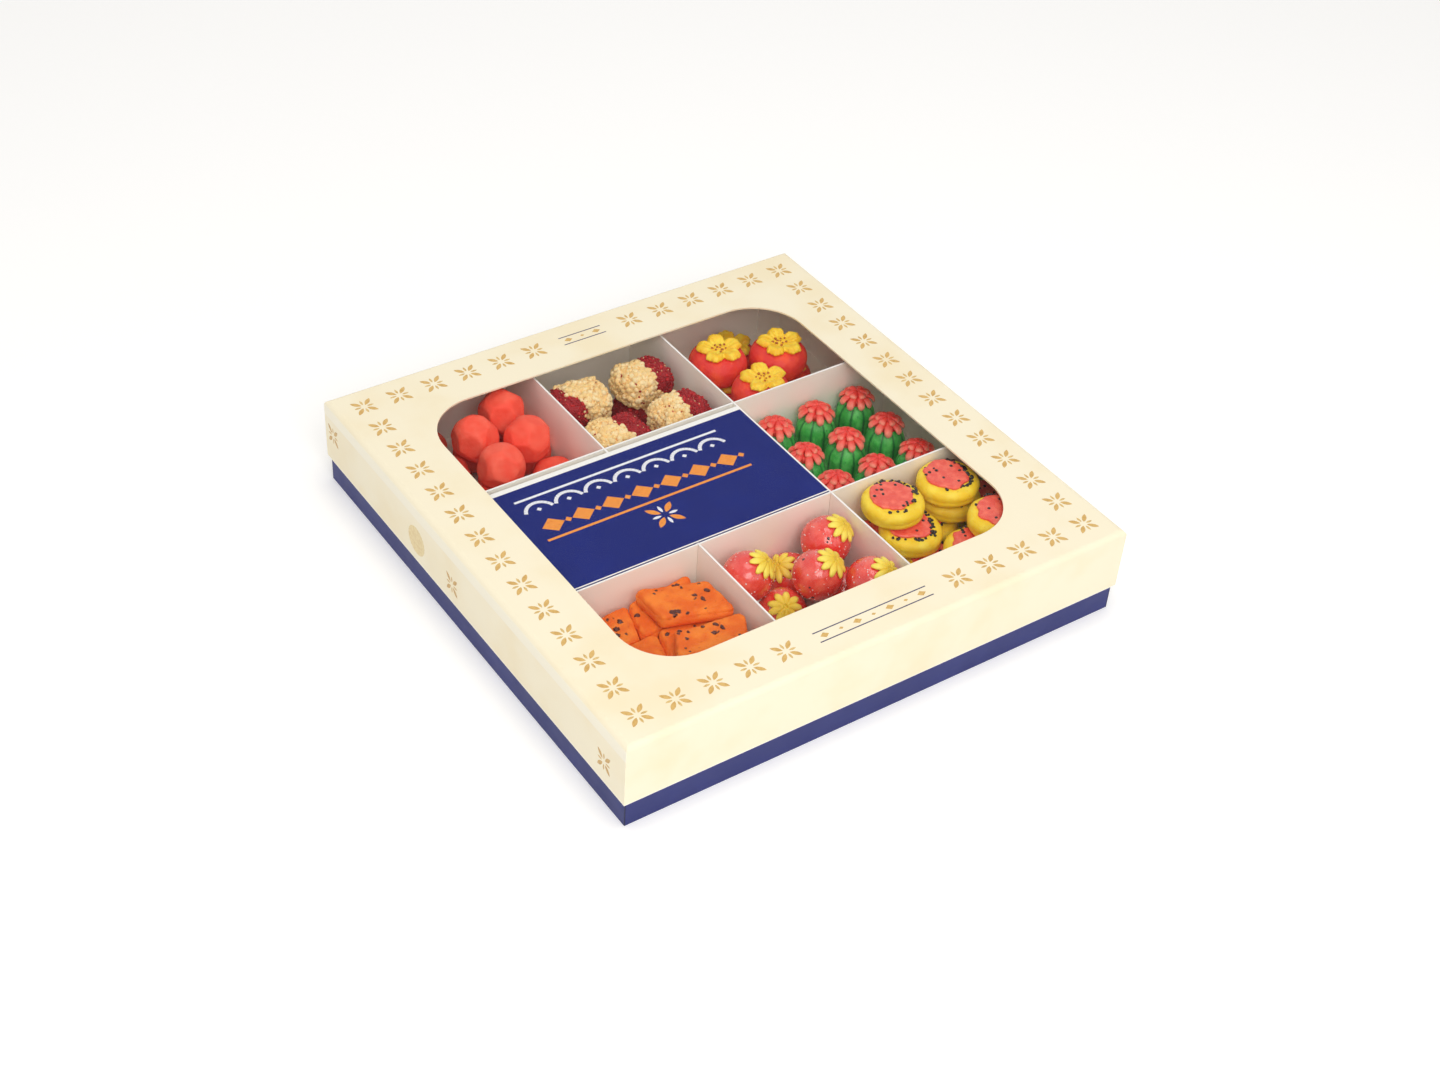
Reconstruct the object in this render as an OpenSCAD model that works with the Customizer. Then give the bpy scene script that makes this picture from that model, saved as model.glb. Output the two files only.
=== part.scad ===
// Windowed presentation box of assorted small sweets: base tray, divider grid, centre cover,
// lift-off lid with a clear window, and the sweets in their cells.
// Millimetres. Origin at the middle of the underside, +X right along the front, +Y back, +Z up.

/* [Box] */
// Width of the lid, left to right
lid_w = 300; // [285:1:330]
// Depth of the lid, front to back
lid_d = 300; // [288:1:330]
// Height of the lid, top to the lower edge of its skirt
lid_h = 36.5; // [30:0.5:44]
// Thickness of the box board
board_t = 1; // [0.8:0.1:1.4]
// Clearance between the lid's skirt and the base wall
lid_gap = 0.5; // [0.3:0.1:1]
// Gap between the base wall's rim and the fold of the lid that rests on it
lid_seat_gap = 0.2; // [0.1:0.05:0.25]
// Radius of the soft fold round the lid's top
shoulder_r = 3; // [2:0.5:5]
// Width of the glued corner tabs inside the base
corner_tab_w = 16; // [12:1:22]
// Free height between the highest sweet and the window film
headroom = 0.5; // [0.4:0.1:4]

/* [Window] */
// Width of the board left round the window
window_margin = 36; // [30:1:45]
// Radius of the window's corners
window_r = 30; // [15:1:40]
// Thickness of the clear film
film_t = 0.25; // [0.2:0.05:0.5]
// Width of the film glued under the board all round
film_lap = 12; // [8:1:20]

/* [Dividers] */
// Clear width of the middle column of cells
mid_col_w = 81; // [76:1:88]
// Clear depth of the middle row of cells
mid_row_d = 88; // [84:1:94]
// Thickness of the divider board
divider_t = 1; // [0.8:0.1:1.4]
// Distance of the divider tops below the lid's top
divider_drop = 4; // [3.5:0.1:7]
// Side clearance in the half-lap slots
slot_gap = 0.15; // [0.1:0.05:0.3]
// Clearance between a divider's end and the base wall
divider_end_gap = 0.3; // [0.2:0.1:0.8]

/* [Centre cover] */
// Thickness of the cover's card
cover_t = 0.8; // [0.6:0.1:1.2]
// Depth of the cover's turned-down sides
cover_skirt_h = 18; // [12:1:26]
// Clearance between the cover's sides and the walls beside them
cover_gap = 0.3; // [0.2:0.1:0.8]
// Finger gap left behind the cover, for lifting it
finger_gap = 4; // [3:0.5:10]
// Gap between the cover and the divider that it rests on
cover_seat_gap = 0.1; // [0.05:0.05:0.3]

/* [Sweets] */
// Clearance between sweets that lie against each other, a wall or the floor
touch_gap = 0.2; // [0.15:0.05:0.4]
// Depth of a crumb cookie
cookie_d = 28; // [24:1:32]
// Width of a crumb cookie
cookie_w = 34; // [30:1:37]
// Height of a crumb cookie
cookie_h = 21; // [16:0.5:21.5]
// Radius of a cookie's upper and lower edges
cookie_edge = 9.5; // [5:0.5:10]
// Height of a round's body
round_h = 17.5; // [14:0.5:18]
// Radius of a round's edge
round_edge = 7.5; // [4:0.5:8]
// Height of the flower on a round
round_flower_h = 4; // [2.5:0.5:4.5]
// Diameter of a green ribbed sweet
cactus_d = 22.5; // [20:0.5:25]
// Height of a green ribbed sweet's body
cactus_h = 29.5; // [24:0.5:33]
// Height of the flower on a green sweet
cactus_flower_h = 5.2; // [3:0.2:6]
// Thickness of an iced disc
disc_h = 10; // [8:0.5:10.5]
// Radius of a disc's edge
disc_edge = 4; // [2:0.5:4.5]
// Thickness of the icing on a disc
icing_h = 1.4; // [0.8:0.1:1.6]
// Thickness of the flower on a glazed ball
glazed_flower_h = 2.6; // [2:0.2:3]
// Thickness of a slanted biscuit
biscuit_h = 7.8; // [6.5:0.1:8.2]
// Distance by which a biscuit's back edge is shifted along its front edge
biscuit_slant = 9; // [5:0.5:12]
// Radius of a biscuit's corners
biscuit_r = 2.5; // [1.5:0.5:4]

/* [Hidden] */
$fn = 64;
quarter = 90;

// Inside of the base and the cells, counted from the left and from the front
inner_w = lid_w - 2 * (board_t + lid_gap + board_t);
inner_d = lid_d - 2 * (board_t + lid_gap + board_t);
side_w = (inner_w - mid_col_w) / 2 - divider_t;
side_d = (inner_d - mid_row_d) / 2 - divider_t;
cell_x = [-inner_w / 2, -mid_col_w / 2, mid_col_w / 2 + divider_t];
cell_y = [-inner_d / 2, -mid_row_d / 2, mid_row_d / 2 + divider_t];
floor_z = board_t;

// Width of a round sweet that lies three by three, staggered, in a corner cell
stagger_share = 2.8;
three_w = min(side_w / 3, side_d / stagger_share);

function ring(r, n, a = 0) = [for (i = [0:n - 1]) [r * cos(a + i * 360 / n), r * sin(a + i * 360 / n)]];

// Height at which a ball of the given pitch comes to rest on the balls below it
function reach(x, y, q) = norm([x - q[0], y - q[1]]);
function drop(x, y, below, pitch) =
    max([for (q = below) if (reach(x, y, q) < pitch) q[2] + sqrt(pow(pitch, 2) - pow(reach(x, y, q), 2))]);

// Coral balls: staggered columns from the right wall, with a second layer in the pockets
coral_col_count = 4;
coral_row_count = 3;
coral_spread_share = 1.055;
coral_depth_share = (coral_row_count - 1 / 2) * coral_spread_share;
coral_d_across = (side_w - (coral_col_count + 1) * touch_gap) / coral_col_count;
coral_d_along = (side_d - (2 + coral_depth_share) * touch_gap) / (1 + coral_depth_share);
coral_d = min(coral_d_across, coral_d_along);
coral_pitch = (coral_d + touch_gap) * coral_spread_share;
coral_col = coral_pitch * cos(30);
coral_x = cell_x[0] + side_w - touch_gap - coral_d / 2;
coral_y = cell_y[2] + touch_gap + coral_d / 2;
coral_z = floor_z + touch_gap + coral_d / 2;
coral_low = [for (m = [0:coral_col_count - 1], j = [0:coral_row_count - 1])
    [coral_x - m * coral_col, coral_y + (j + (m + 1) % 2 / 2) * coral_pitch, coral_z]];
coral_rise = sqrt(pow(coral_d + touch_gap, 2) - pow(coral_pitch, 2) / 3);
coral_top = [for (m = [0:1], j = [0:coral_row_count - 2])
    [coral_x - (m + 1 / 3) * coral_col, coral_y + (j + 1 - m / 2) * coral_pitch, coral_z + coral_rise]];
coral_stack = coral_z + coral_rise + coral_d / 2;

// Crumb cookies: two by two in two layers; places are shares of the cell
cookie_place_shares = [[0.26, 0.19], [0.76, 0.2], [0.24, 0.555], [0.75, 0.565]];
cookie_lobe_share = 0.35;
cookie_at = [for (s = cookie_place_shares) [cell_x[1] + s[0] * mid_col_w, cell_y[2] + s[1] * side_d]];
cookie_layer = cookie_h + touch_gap;
cookie_turn = [0, 8, -6, 4];
cookie_stack = floor_z + 2 * cookie_layer;

// Flowered rounds: places are shares of their pitch, from the cell's front left corner
round_fit_share = 0.975;
round_d = three_w * round_fit_share - 2 * touch_gap;
round_pitch = round_d + touch_gap;
round_corner = [cell_x[2] + touch_gap + round_d / 2, cell_y[2] + touch_gap + round_d / 2];
round_low_shares = [[0, 0], [1.01, 0], [2.02, 0], [0.5, 0.88], [1.52, 0.88], [1.01, 1.77]];
round_top_shares = [[0.25, 1.02], [1.23, 0.68], [0.42, 0]];
round_flowered = [true, true, false, true, true, true];
round_low = [for (s = round_low_shares) round_corner + s * round_pitch];
round_top = [for (s = round_top_shares) round_corner + s * round_pitch];
round_layer = round_h + round_flower_h + touch_gap;
round_petals = 5;
round_flower_share = 0.86;
round_stack = floor_z + 2 * round_layer;

// Green ribbed sweets: a three by three block; its place is a share of the room round it
cactus_count = 3;
cactus_space_share = 0.244;
cactus_pitch = cactus_d + (mid_row_d - cactus_count * cactus_d) * cactus_space_share;
cactus_block = (cactus_count - 1) * cactus_pitch + cactus_d;
cactus_room_shares = [0.32, 0.92];
cactus_x = cell_x[2] + (side_w - cactus_block) * cactus_room_shares[0] + cactus_d / 2;
cactus_y = cell_y[1] + (mid_row_d - cactus_block) * cactus_room_shares[1] + cactus_d / 2;
cactus_at = [for (j = [0:cactus_count - 1], i = [0:cactus_count - 1])
    [cactus_x + i * cactus_pitch, cactus_y + j * cactus_pitch]];
cactus_ribs = 9;
cactus_rib_share = 0.17;
cactus_rib_in_share = 0.92;
cactus_edge_share = 0.42;
cactus_flower_share = 0.9;
cactus_petals = 8;

// Iced discs: four layers; places are shares of their pitch, from the cell's back left corner
disc_fit_share = 0.985;
disc_d = three_w * disc_fit_share - 2 * touch_gap;
disc_pitch = disc_d + touch_gap;
disc_corner = [cell_x[2] + touch_gap + disc_d / 2, cell_y[0] + side_d - touch_gap - disc_d / 2];
disc_bed_shares = [[0, 0], [1.01, 0], [2.02, 0], [0.5, -0.88], [1.52, -0.88],
    [0, -1.77], [1.01, -1.77], [2.02, -1.77]];
disc_third_shares = [[0.37, -0.37], [1.4, -0.02], [0.94, -1.21], [2.02, -0.94]];
disc_fourth_shares = [[0.27, -0.01], [1.31, -0.02], [1.43, -1.1]];
disc_layer = disc_h + icing_h + touch_gap;
function disc_spots(shares, layer) =
    [for (s = shares) [disc_corner[0] + s[0] * disc_pitch, disc_corner[1] + s[1] * disc_pitch,
        floor_z + touch_gap + layer * disc_layer]];
disc_low = concat(disc_spots(disc_bed_shares, 0), disc_spots(disc_bed_shares, 1));
disc_top = concat(disc_spots(disc_third_shares, 2), disc_spots(disc_fourth_shares, 3));
icing_share = 0.76;
icing_lobes = 7;
disc_stack = floor_z + 4 * disc_layer;

// Glazed balls: places are shares of their pitch, from the cell's back left corner
glazed_rows_share = 3.72;
glazed_pitch = min((mid_col_w - touch_gap) / 3, side_d / glazed_rows_share);
glazed_d = glazed_pitch - touch_gap;
glazed_corner = [cell_x[1] + touch_gap + glazed_d / 2, cell_y[0] + side_d - touch_gap - glazed_d / 2];
glazed_low_shares = [[1.3, 0], [0.576, -0.761], [1.949, -0.854],
    [1.671, -2.191], [0.557, -1.82], [0.019, -2.674]];
glazed_top_shares = [[0.126, -0.182], [1.968, -0.141], [1.251, -0.854], [1.998, -1.534]];
glazed_low_tilt = [[35, 180], [35, -120], [35, 0], [45, -100], [15, -40], [35, -40]];
glazed_top_tilt = [[38, -40], [35, -40], [33, -50], [35, -60]];
glazed_flowered = [true, true, false, true, true, true];
glazed_z = floor_z + touch_gap + glazed_d / 2;
glazed_low = [for (s = glazed_low_shares)
    [glazed_corner[0] + s[0] * glazed_pitch, glazed_corner[1] + s[1] * glazed_pitch, glazed_z]];
function rest(p) = [p[0], p[1], drop(p[0], p[1], glazed_low, glazed_pitch)];
glazed_top = [for (s = glazed_top_shares) rest(glazed_corner + s * glazed_pitch)];
glazed_petals = 8;
glazed_flower_share = 0.64;
glazed_stack = max([for (q = glazed_top) q[2]]) + glazed_d / 2 + glazed_flower_h;

// Slanted biscuits: three beds of two columns, a turned layer on them and two loose ones on top
biscuit_rows = 4;
biscuit_row_share = 0.945;
biscuit_length_share = 0.368;
biscuit_l = side_w * biscuit_length_share;
biscuit_d = side_d / biscuit_rows * biscuit_row_share - touch_gap;
biscuit_layer = biscuit_h + touch_gap;
biscuit_mid = [cell_x[0] + side_w / 2, cell_y[0] + side_d / 2];
biscuit_beds = 3;
biscuit_mid_share = [0.57, 0.6];
biscuit_mid_turn = 5;
biscuit_mid_rows = 3;
biscuit_top_shares = [[0.783, 0.771], [0.741, 0.474]];
biscuit_top_turn = [-18.6, -8];
biscuit_top_way = [-1, 1];
function biscuit_grid(rows) = [for (j = [0:rows - 1], i = [0:1])
    [(i - 1 / 2) * (biscuit_l + touch_gap), (j - (rows - 1) / 2) * (biscuit_d + touch_gap)]];
function turned(p, a) = [p[0] * cos(a) - p[1] * sin(a), p[0] * sin(a) + p[1] * cos(a)];
function biscuit_place(s) = [cell_x[0] + s[0] * side_w, cell_y[0] + s[1] * side_d];
biscuit_middle = [for (p = biscuit_grid(biscuit_mid_rows))
    biscuit_place(biscuit_mid_share) + turned(p, biscuit_mid_turn)];
biscuit_top = [for (s = biscuit_top_shares) biscuit_place(s)];
biscuit_stack = floor_z + (biscuit_beds + 2) * biscuit_layer;

// The box is as high as its highest sweets ask for
stack_top = max(coral_stack, cookie_stack, round_stack, disc_stack, glazed_stack, biscuit_stack);
box_h = stack_top + headroom + film_t + board_t;
fold_r = shoulder_r - board_t;
wall_top = box_h - shoulder_r + sqrt(pow(fold_r - lid_seat_gap, 2) - pow(max(fold_r - lid_gap, 0), 2));
divider_top = box_h - divider_drop;
divider_half = (floor_z + divider_top) / 2;
window_w = lid_w - 2 * window_margin;
window_d = lid_d - 2 * window_margin;
cover_x = cell_x[0] + cover_gap;
cover_w = side_w + divider_t + mid_col_w - 2 * cover_gap;
cover_y = cell_y[1] + cover_gap;
cover_d = mid_row_d - cover_gap - finger_gap;
cover_z = divider_top + cover_seat_gap;

function names(stem, list) = [for (i = [1:len(list)]) str(stem, "_", i)];

// Box board

module rounded_rect(w, d, r) {
    square([w - 2 * r, d], center = true);
    square([w, d - 2 * r], center = true);
    for (x = [-1, 1], y = [-1, 1])
        translate([x * (w / 2 - r), y * (d / 2 - r)]) circle(r);
}

// Rectangle standing on the x axis with both top corners rounded
module arch(w, h, r) {
    translate([-w / 2, 0]) square([w, h - r]);
    translate([-w / 2 + r, 0]) square([w - 2 * r, h]);
    for (x = [-1, 1])
        translate([x * (w / 2 - r), h - r]) circle(r);
}

// Block whose four top edges are rounded and meet in mitres
module soft_block(w, d, h, r) {
    intersection() {
        rotate([quarter, 0, 0]) linear_extrude(d, center = true) arch(w, h, r);
        rotate([quarter, 0, quarter]) linear_extrude(w, center = true) arch(d, h, r);
    }
}

module lid_shell() {
    color("antiquewhite")
        difference() {
            translate([0, 0, box_h - lid_h]) soft_block(lid_w, lid_d, lid_h, shoulder_r);
            translate([0, 0, box_h - lid_h - board_t])
                soft_block(lid_w - 2 * board_t, lid_d - 2 * board_t, lid_h, shoulder_r - board_t);
            translate([0, 0, box_h - 2 * board_t])
                linear_extrude(3 * board_t) rounded_rect(window_w, window_d, window_r);
        }
}

module window_film() {
    color("lightcyan", 0.3)
        translate([0, 0, box_h - board_t - film_t / 2])
            cube([window_w + 2 * film_lap, window_d + 2 * film_lap, film_t], center = true);
}

module base_tray() {
    outer_w = inner_w + 2 * board_t;
    outer_d = inner_d + 2 * board_t;
    color("darkslateblue") {
        difference() {
            translate([-outer_w / 2, -outer_d / 2, 0]) cube([outer_w, outer_d, wall_top]);
            translate([-inner_w / 2, -inner_d / 2, floor_z]) cube([inner_w, inner_d, wall_top]);
        }
        // Tabs that turn round each corner and are glued inside the front and back walls
        for (x = [-1, 1], y = [-1, 1])
            translate([x * (inner_w / 2 - corner_tab_w / 2), y * (inner_d - board_t) / 2, wall_top / 2])
                cube([corner_tab_w, board_t, wall_top - 2 * floor_z], center = true);
    }
}

// Divider grid, joined by half-lap slots

module divider_along_x(y) {
    w = inner_w - 2 * divider_end_gap;
    color("linen")
        difference() {
            translate([-w / 2, y - divider_t / 2, floor_z]) cube([w, divider_t, divider_top - floor_z]);
            for (x = [-1, 1])
                translate([x * (mid_col_w + divider_t) / 2, y, divider_half + divider_top / 2])
                    cube([divider_t + 2 * slot_gap, 2 * divider_t, divider_top], center = true);
        }
}

module divider_along_y(x) {
    d = inner_d - 2 * divider_end_gap;
    color("linen")
        difference() {
            translate([x - divider_t / 2, -d / 2, floor_z]) cube([divider_t, d, divider_top - floor_z]);
            for (y = [-1, 1])
                translate([x, y * (mid_row_d + divider_t) / 2, divider_half + slot_gap - divider_top / 2])
                    cube([2 * divider_t, divider_t + 2 * slot_gap, divider_top], center = true);
        }
}

// Card over the left and centre cells, with turned-down sides that drop between the dividers
module centre_cover() {
    notch_w = divider_t + 2 * cover_gap;
    color("mediumblue")
        difference() {
            translate([cover_x, cover_y, cover_z - cover_skirt_h])
                cube([cover_w, cover_d, cover_skirt_h + cover_t]);
            translate([cover_x + cover_t, cover_y + cover_t, cover_z - 2 * cover_skirt_h])
                cube([cover_w - 2 * cover_t, cover_d - 2 * cover_t, 2 * cover_skirt_h]);
            translate([-(mid_col_w + divider_t + notch_w) / 2, -mid_row_d, cover_z - 2 * cover_skirt_h])
                cube([notch_w, 2 * mid_row_d, 2 * cover_skirt_h]);
        }
}

// Shared shapes of the sweets

// Round puck with a rolled edge
module puck(d, h, edge) {
    rotate_extrude() {
        square([d / 2 - edge, h]);
        translate([0, edge]) square([d / 2, h - 2 * edge]);
        for (z = [edge, h - edge])
            intersection() {
                translate([d / 2 - edge, z]) circle(edge);
                translate([0, z - edge - h]) square([d, 2 * edge + 2 * h]);
            }
    }
}

// Flat rosette of round petals
module rosette(d, petals) {
    petal_share = 1.15;
    petal_r = d / 2 * sin(180 / petals) / (1 + sin(180 / petals)) * petal_share;
    circle(d / 2 - petal_r);
    for (p = ring(d / 2 - petal_r, petals))
        translate(p) circle(petal_r);
}

// Coral balls

module coral_ball(q) {
    color("tomato") translate(q) sphere(coral_d / 2);
}

module coral_ball_bed() {
    for (q = coral_low) coral_ball(q);
}

// Crumb cookies, four lobes each

module crumb_cookie(q, layer, turn) {
    lobe_r = cookie_d * cookie_lobe_share;
    color("wheat")
        translate([q[0], q[1], floor_z + touch_gap + layer * cookie_layer + cookie_h / 2])
            rotate([0, 0, turn])
                intersection() {
                    linear_extrude(cookie_h, center = true) {
                        square([cookie_w - 2 * lobe_r, cookie_d - lobe_r], center = true);
                        square([cookie_w - lobe_r, cookie_d - 2 * lobe_r], center = true);
                        for (x = [-1, 1], y = [-1, 1])
                            translate([x * (cookie_w / 2 - lobe_r), y * (cookie_d / 2 - lobe_r)])
                                circle(lobe_r);
                    }
                    rotate([quarter, 0, 0])
                        linear_extrude(cookie_d, center = true)
                            rounded_rect(cookie_w, cookie_h, cookie_edge);
                    rotate([quarter, 0, quarter])
                        linear_extrude(cookie_w, center = true)
                            rounded_rect(cookie_d, cookie_h, cookie_edge);
                }
}

module crumb_cookie_bed() {
    for (i = [0:len(cookie_at) - 1]) crumb_cookie(cookie_at[i], 0, cookie_turn[i]);
}

// Flowered rounds

module flowered_round(q, layer) {
    color("orangered")
        translate([q[0], q[1], floor_z + touch_gap + layer * round_layer])
            puck(round_d, round_h, round_edge);
}

module flowered_round_bed() {
    for (q = round_low) flowered_round(q, 0);
}

module round_flower(q, layer) {
    color("gold")
        translate([q[0], q[1], floor_z + touch_gap + layer * round_layer + round_h])
            linear_extrude(round_flower_h) rosette(round_d * round_flower_share, round_petals);
}

module round_flowers() {
    for (i = [0:len(round_low) - 1]) if (round_flowered[i]) round_flower(round_low[i], 0);
    for (q = round_top) round_flower(q, 1);
}

// Green ribbed sweets

module green_sweet(q) {
    rib_r = cactus_d * cactus_rib_share;
    rib_at = cactus_d / 2 - rib_r * cactus_rib_in_share;
    color("forestgreen")
        translate([q[0], q[1], floor_z + touch_gap])
            intersection() {
                puck(cactus_d, cactus_h, cactus_d * cactus_edge_share);
                linear_extrude(cactus_h) {
                    circle(rib_at);
                    for (p = ring(rib_at, cactus_ribs))
                        translate(p) circle(rib_r);
                }
            }
}

module green_sweet_flowers() {
    color("crimson")
        for (q = cactus_at)
            translate([q[0], q[1], floor_z + touch_gap + cactus_h])
                linear_extrude(cactus_flower_h) rosette(cactus_d * cactus_flower_share, cactus_petals);
}

// Iced discs

module iced_disc(q) {
    color("gold") translate(q) puck(disc_d, disc_h, disc_edge);
}

module iced_disc_bed() {
    for (q = disc_low) iced_disc(q);
}

module disc_icing() {
    color("lightcoral")
        for (q = concat(disc_low, disc_top))
            translate([q[0], q[1], q[2] + disc_h])
                linear_extrude(icing_h) rosette(disc_d * icing_share, icing_lobes);
}

// Glazed balls, each with a flower that wraps its side

module glazed_ball(q) {
    color("indianred") translate(q) sphere(glazed_d / 2);
}

module glazed_ball_bed() {
    for (q = glazed_low) glazed_ball(q);
}

module glazed_flower(q, tilt) {
    color("khaki")
        translate(q) rotate([0, tilt[0], tilt[1]])
            difference() {
                intersection() {
                    sphere(glazed_d / 2 + glazed_flower_h);
                    linear_extrude(glazed_d) rosette(glazed_d * glazed_flower_share, glazed_petals);
                }
                sphere(glazed_d / 2 + touch_gap);
            }
}

module glazed_flowers() {
    for (i = [0:len(glazed_low) - 1])
        if (glazed_flowered[i]) glazed_flower(glazed_low[i], glazed_low_tilt[i]);
    for (i = [0:len(glazed_top) - 1]) glazed_flower(glazed_top[i], glazed_top_tilt[i]);
}

// Slanted biscuits

// Points round the corner p of an outline, from direction a to direction b
arc_steps = 4;
function corner_arc(p, r, a, b) = [for (i = [0:arc_steps])
    p + r * [cos(a + (b - a) * i / arc_steps), sin(a + (b - a) * i / arc_steps)]];

module biscuit_outline() {
    lean = atan2(biscuit_slant, biscuit_d);
    y = biscuit_d / 2 - biscuit_r;
    x = biscuit_l / 2 - biscuit_r / cos(lean);
    shift = y * tan(lean);
    polygon(concat(
        corner_arc([x - shift, -y], biscuit_r, -quarter, -lean),
        corner_arc([x + shift, y], biscuit_r, -lean, quarter),
        corner_arc([-x + shift, y], biscuit_r, quarter, 2 * quarter - lean),
        corner_arc([-x - shift, -y], biscuit_r, 2 * quarter - lean, 3 * quarter)));
}

// A biscuit lies either way up, so that it slants to the right (1) or to the left (-1)
module slanted_biscuit(p, layer, turn, way) {
    color("chocolate")
        translate([p[0], p[1], floor_z + touch_gap + layer * biscuit_layer])
            rotate([0, 0, turn])
                linear_extrude(biscuit_h) scale([way, 1]) biscuit_outline();
}

module slanted_biscuit_layer() {
    for (p = biscuit_middle) slanted_biscuit(p, biscuit_beds, biscuit_mid_turn, 1);
}

module slanted_biscuit_bed() {
    for (k = [0:biscuit_beds - 1], p = biscuit_grid(biscuit_rows))
        slanted_biscuit(biscuit_mid + p, k, 0, k % 2 == 0 ? 1 : -1);
}

base_tray();
divider_along_x(-(mid_row_d + divider_t) / 2);  // divider_front
divider_along_x((mid_row_d + divider_t) / 2);  // divider_back
divider_along_y(-(mid_col_w + divider_t) / 2);  // divider_left
divider_along_y((mid_col_w + divider_t) / 2);  // divider_right
centre_cover();
lid_shell();
for (i = [1:len(coral_top)])
    coral_ball(coral_top[i - 1]);
coral_ball_bed();
for (i = [1:len(cookie_at)])
    crumb_cookie(cookie_at[i - 1], 1, cookie_turn[i - 1]);
crumb_cookie_bed();
for (i = [1:len(round_top)])
    flowered_round(round_top[i - 1], 1);
flowered_round_bed();
round_flowers();
for (i = [1:len(cactus_at)])
    green_sweet(cactus_at[i - 1]);
green_sweet_flowers();
for (i = [1:len(disc_top)])
    iced_disc(disc_top[i - 1]);
iced_disc_bed();
disc_icing();
for (i = [1:len(glazed_top)])
    glazed_ball(glazed_top[i - 1]);
glazed_ball_bed();
glazed_flowers();
for (i = [1:len(biscuit_top_shares)])
    union() {
        way = biscuit_top_way[i - 1];
        slanted_biscuit(biscuit_top[i - 1], biscuit_beds + 1, biscuit_top_turn[i - 1], way);
    }
slanted_biscuit_layer();
slanted_biscuit_bed();
window_film();
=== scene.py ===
"""Looks of a windowed presentation box of assorted small sweets.

Lengths are millimetres until a mesh is made, and the frame is the box's own: +X right along its
front, +Y to its back, +Z up, from the middle of its underside. Every sweet is built on the place,
size and direction of its solid in the frame.
"""

import math
import random

import bmesh
import bpy
import numpy as np
from mathutils import Matrix, Vector, noise
from mathutils.bvhtree import BVHTree

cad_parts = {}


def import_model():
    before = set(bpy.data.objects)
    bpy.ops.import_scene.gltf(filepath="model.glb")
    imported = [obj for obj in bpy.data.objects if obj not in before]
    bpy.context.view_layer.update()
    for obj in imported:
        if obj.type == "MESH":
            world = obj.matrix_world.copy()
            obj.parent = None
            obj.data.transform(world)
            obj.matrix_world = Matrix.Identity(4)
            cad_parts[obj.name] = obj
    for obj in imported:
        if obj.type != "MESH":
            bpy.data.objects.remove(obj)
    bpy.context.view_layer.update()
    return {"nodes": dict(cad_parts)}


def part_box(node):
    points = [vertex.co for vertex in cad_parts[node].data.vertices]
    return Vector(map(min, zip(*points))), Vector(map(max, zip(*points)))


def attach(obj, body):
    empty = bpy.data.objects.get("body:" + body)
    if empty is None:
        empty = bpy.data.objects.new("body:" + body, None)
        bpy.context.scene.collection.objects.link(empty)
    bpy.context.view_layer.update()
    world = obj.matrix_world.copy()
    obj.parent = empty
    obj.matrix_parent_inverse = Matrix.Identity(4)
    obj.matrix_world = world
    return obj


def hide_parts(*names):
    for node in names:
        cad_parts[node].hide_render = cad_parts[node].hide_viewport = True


MM = 0.001

# Photograph and camera
PHOTO_W = 1440
SENSOR_MM = 36
FOCAL_PX = 2149.35
CAMERA_AT = (-522.4, -706.1, 735.5)
AZIMUTH = -36.776
ELEVATION = 39.901
ROLL = 4.165

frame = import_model()


# Numbers and directions

def rad(degrees):
    return degrees * math.pi / 180


def unit(v):
    v = np.asarray(v, float)
    return v / max(np.linalg.norm(v), 1e-12)


def field(points, size, seed, octaves=1):
    """Smooth noise at the points, about -1 to 1, with lumps of the given size."""
    shift = Vector((seed * 17.3, seed * -9.1, seed * 5.7))
    total = np.zeros(len(points))
    for k in range(octaves):
        step = 2 ** k
        total += [noise.noise(Vector(p) * (step / size) + shift) / step for p in points]
    return total


def smooth_step(x, low, high):
    t = np.clip((np.asarray(x, float) - low) / (high - low), 0, 1)
    return t * t * (3 - 2 * t)


def any_way(rng):
    """A random direction, not of unit length."""
    return [rng.gauss(0, 1) for _ in range(3)]


def jolt(rng, size):
    """A random shift of up to the given size along each axis."""
    return [rng.uniform(-size, size) for _ in range(3)]


def turn_to(direction, spin=0.0):
    """Rotation that takes +Z to the direction, after a spin about +Z, as a 3x3 array."""
    turn = Vector(direction).to_track_quat("Z", "Y").to_matrix()
    return np.array(turn @ Matrix.Rotation(spin, 3, "Z"))


# Solids of the frame

def islands(node):
    """The separate solids of a node: a list of (vertices in millimetres, faces)."""
    mesh = frame["nodes"][node].data
    points = np.array([v.co for v in mesh.vertices]) / MM
    keys, merged = np.unique(np.round(points, 3), axis=0, return_inverse=True)
    merged = merged.ravel()
    group = list(range(len(keys)))

    def root(i):
        while group[i] != i:
            group[i] = group[group[i]]
            i = group[i]
        return i

    faces = [[int(merged[i]) for i in f.vertices] for f in mesh.polygons]
    for f in faces:
        for i in f[1:]:
            group[root(i)] = root(f[0])
    found = {}
    for f in faces:
        found.setdefault(root(f[0]), []).append(f)
    solids = []
    for members in found.values():
        used = sorted({i for f in members for i in f})
        number = {i: k for k, i in enumerate(used)}
        solids.append((keys[used], [[number[i] for i in f] for f in members]))
    return sorted(solids, key=lambda s: tuple(np.round(s[0].mean(0), 2)))


def extent(points):
    """Lowest and highest corner and the middle."""
    low, high = points.min(0), points.max(0)
    return low, high, (low + high) / 2


def stand(points):
    """Size along the axes and the middle of the underside."""
    low, high, middle = extent(points)
    return high - low, np.array([middle[0], middle[1], low[2]])


def ball_of(points):
    """Middle and radius of a ball."""
    low, high, middle = extent(points)
    return middle, (high[2] - low[2]) / 2


# Mesh pieces

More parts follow.
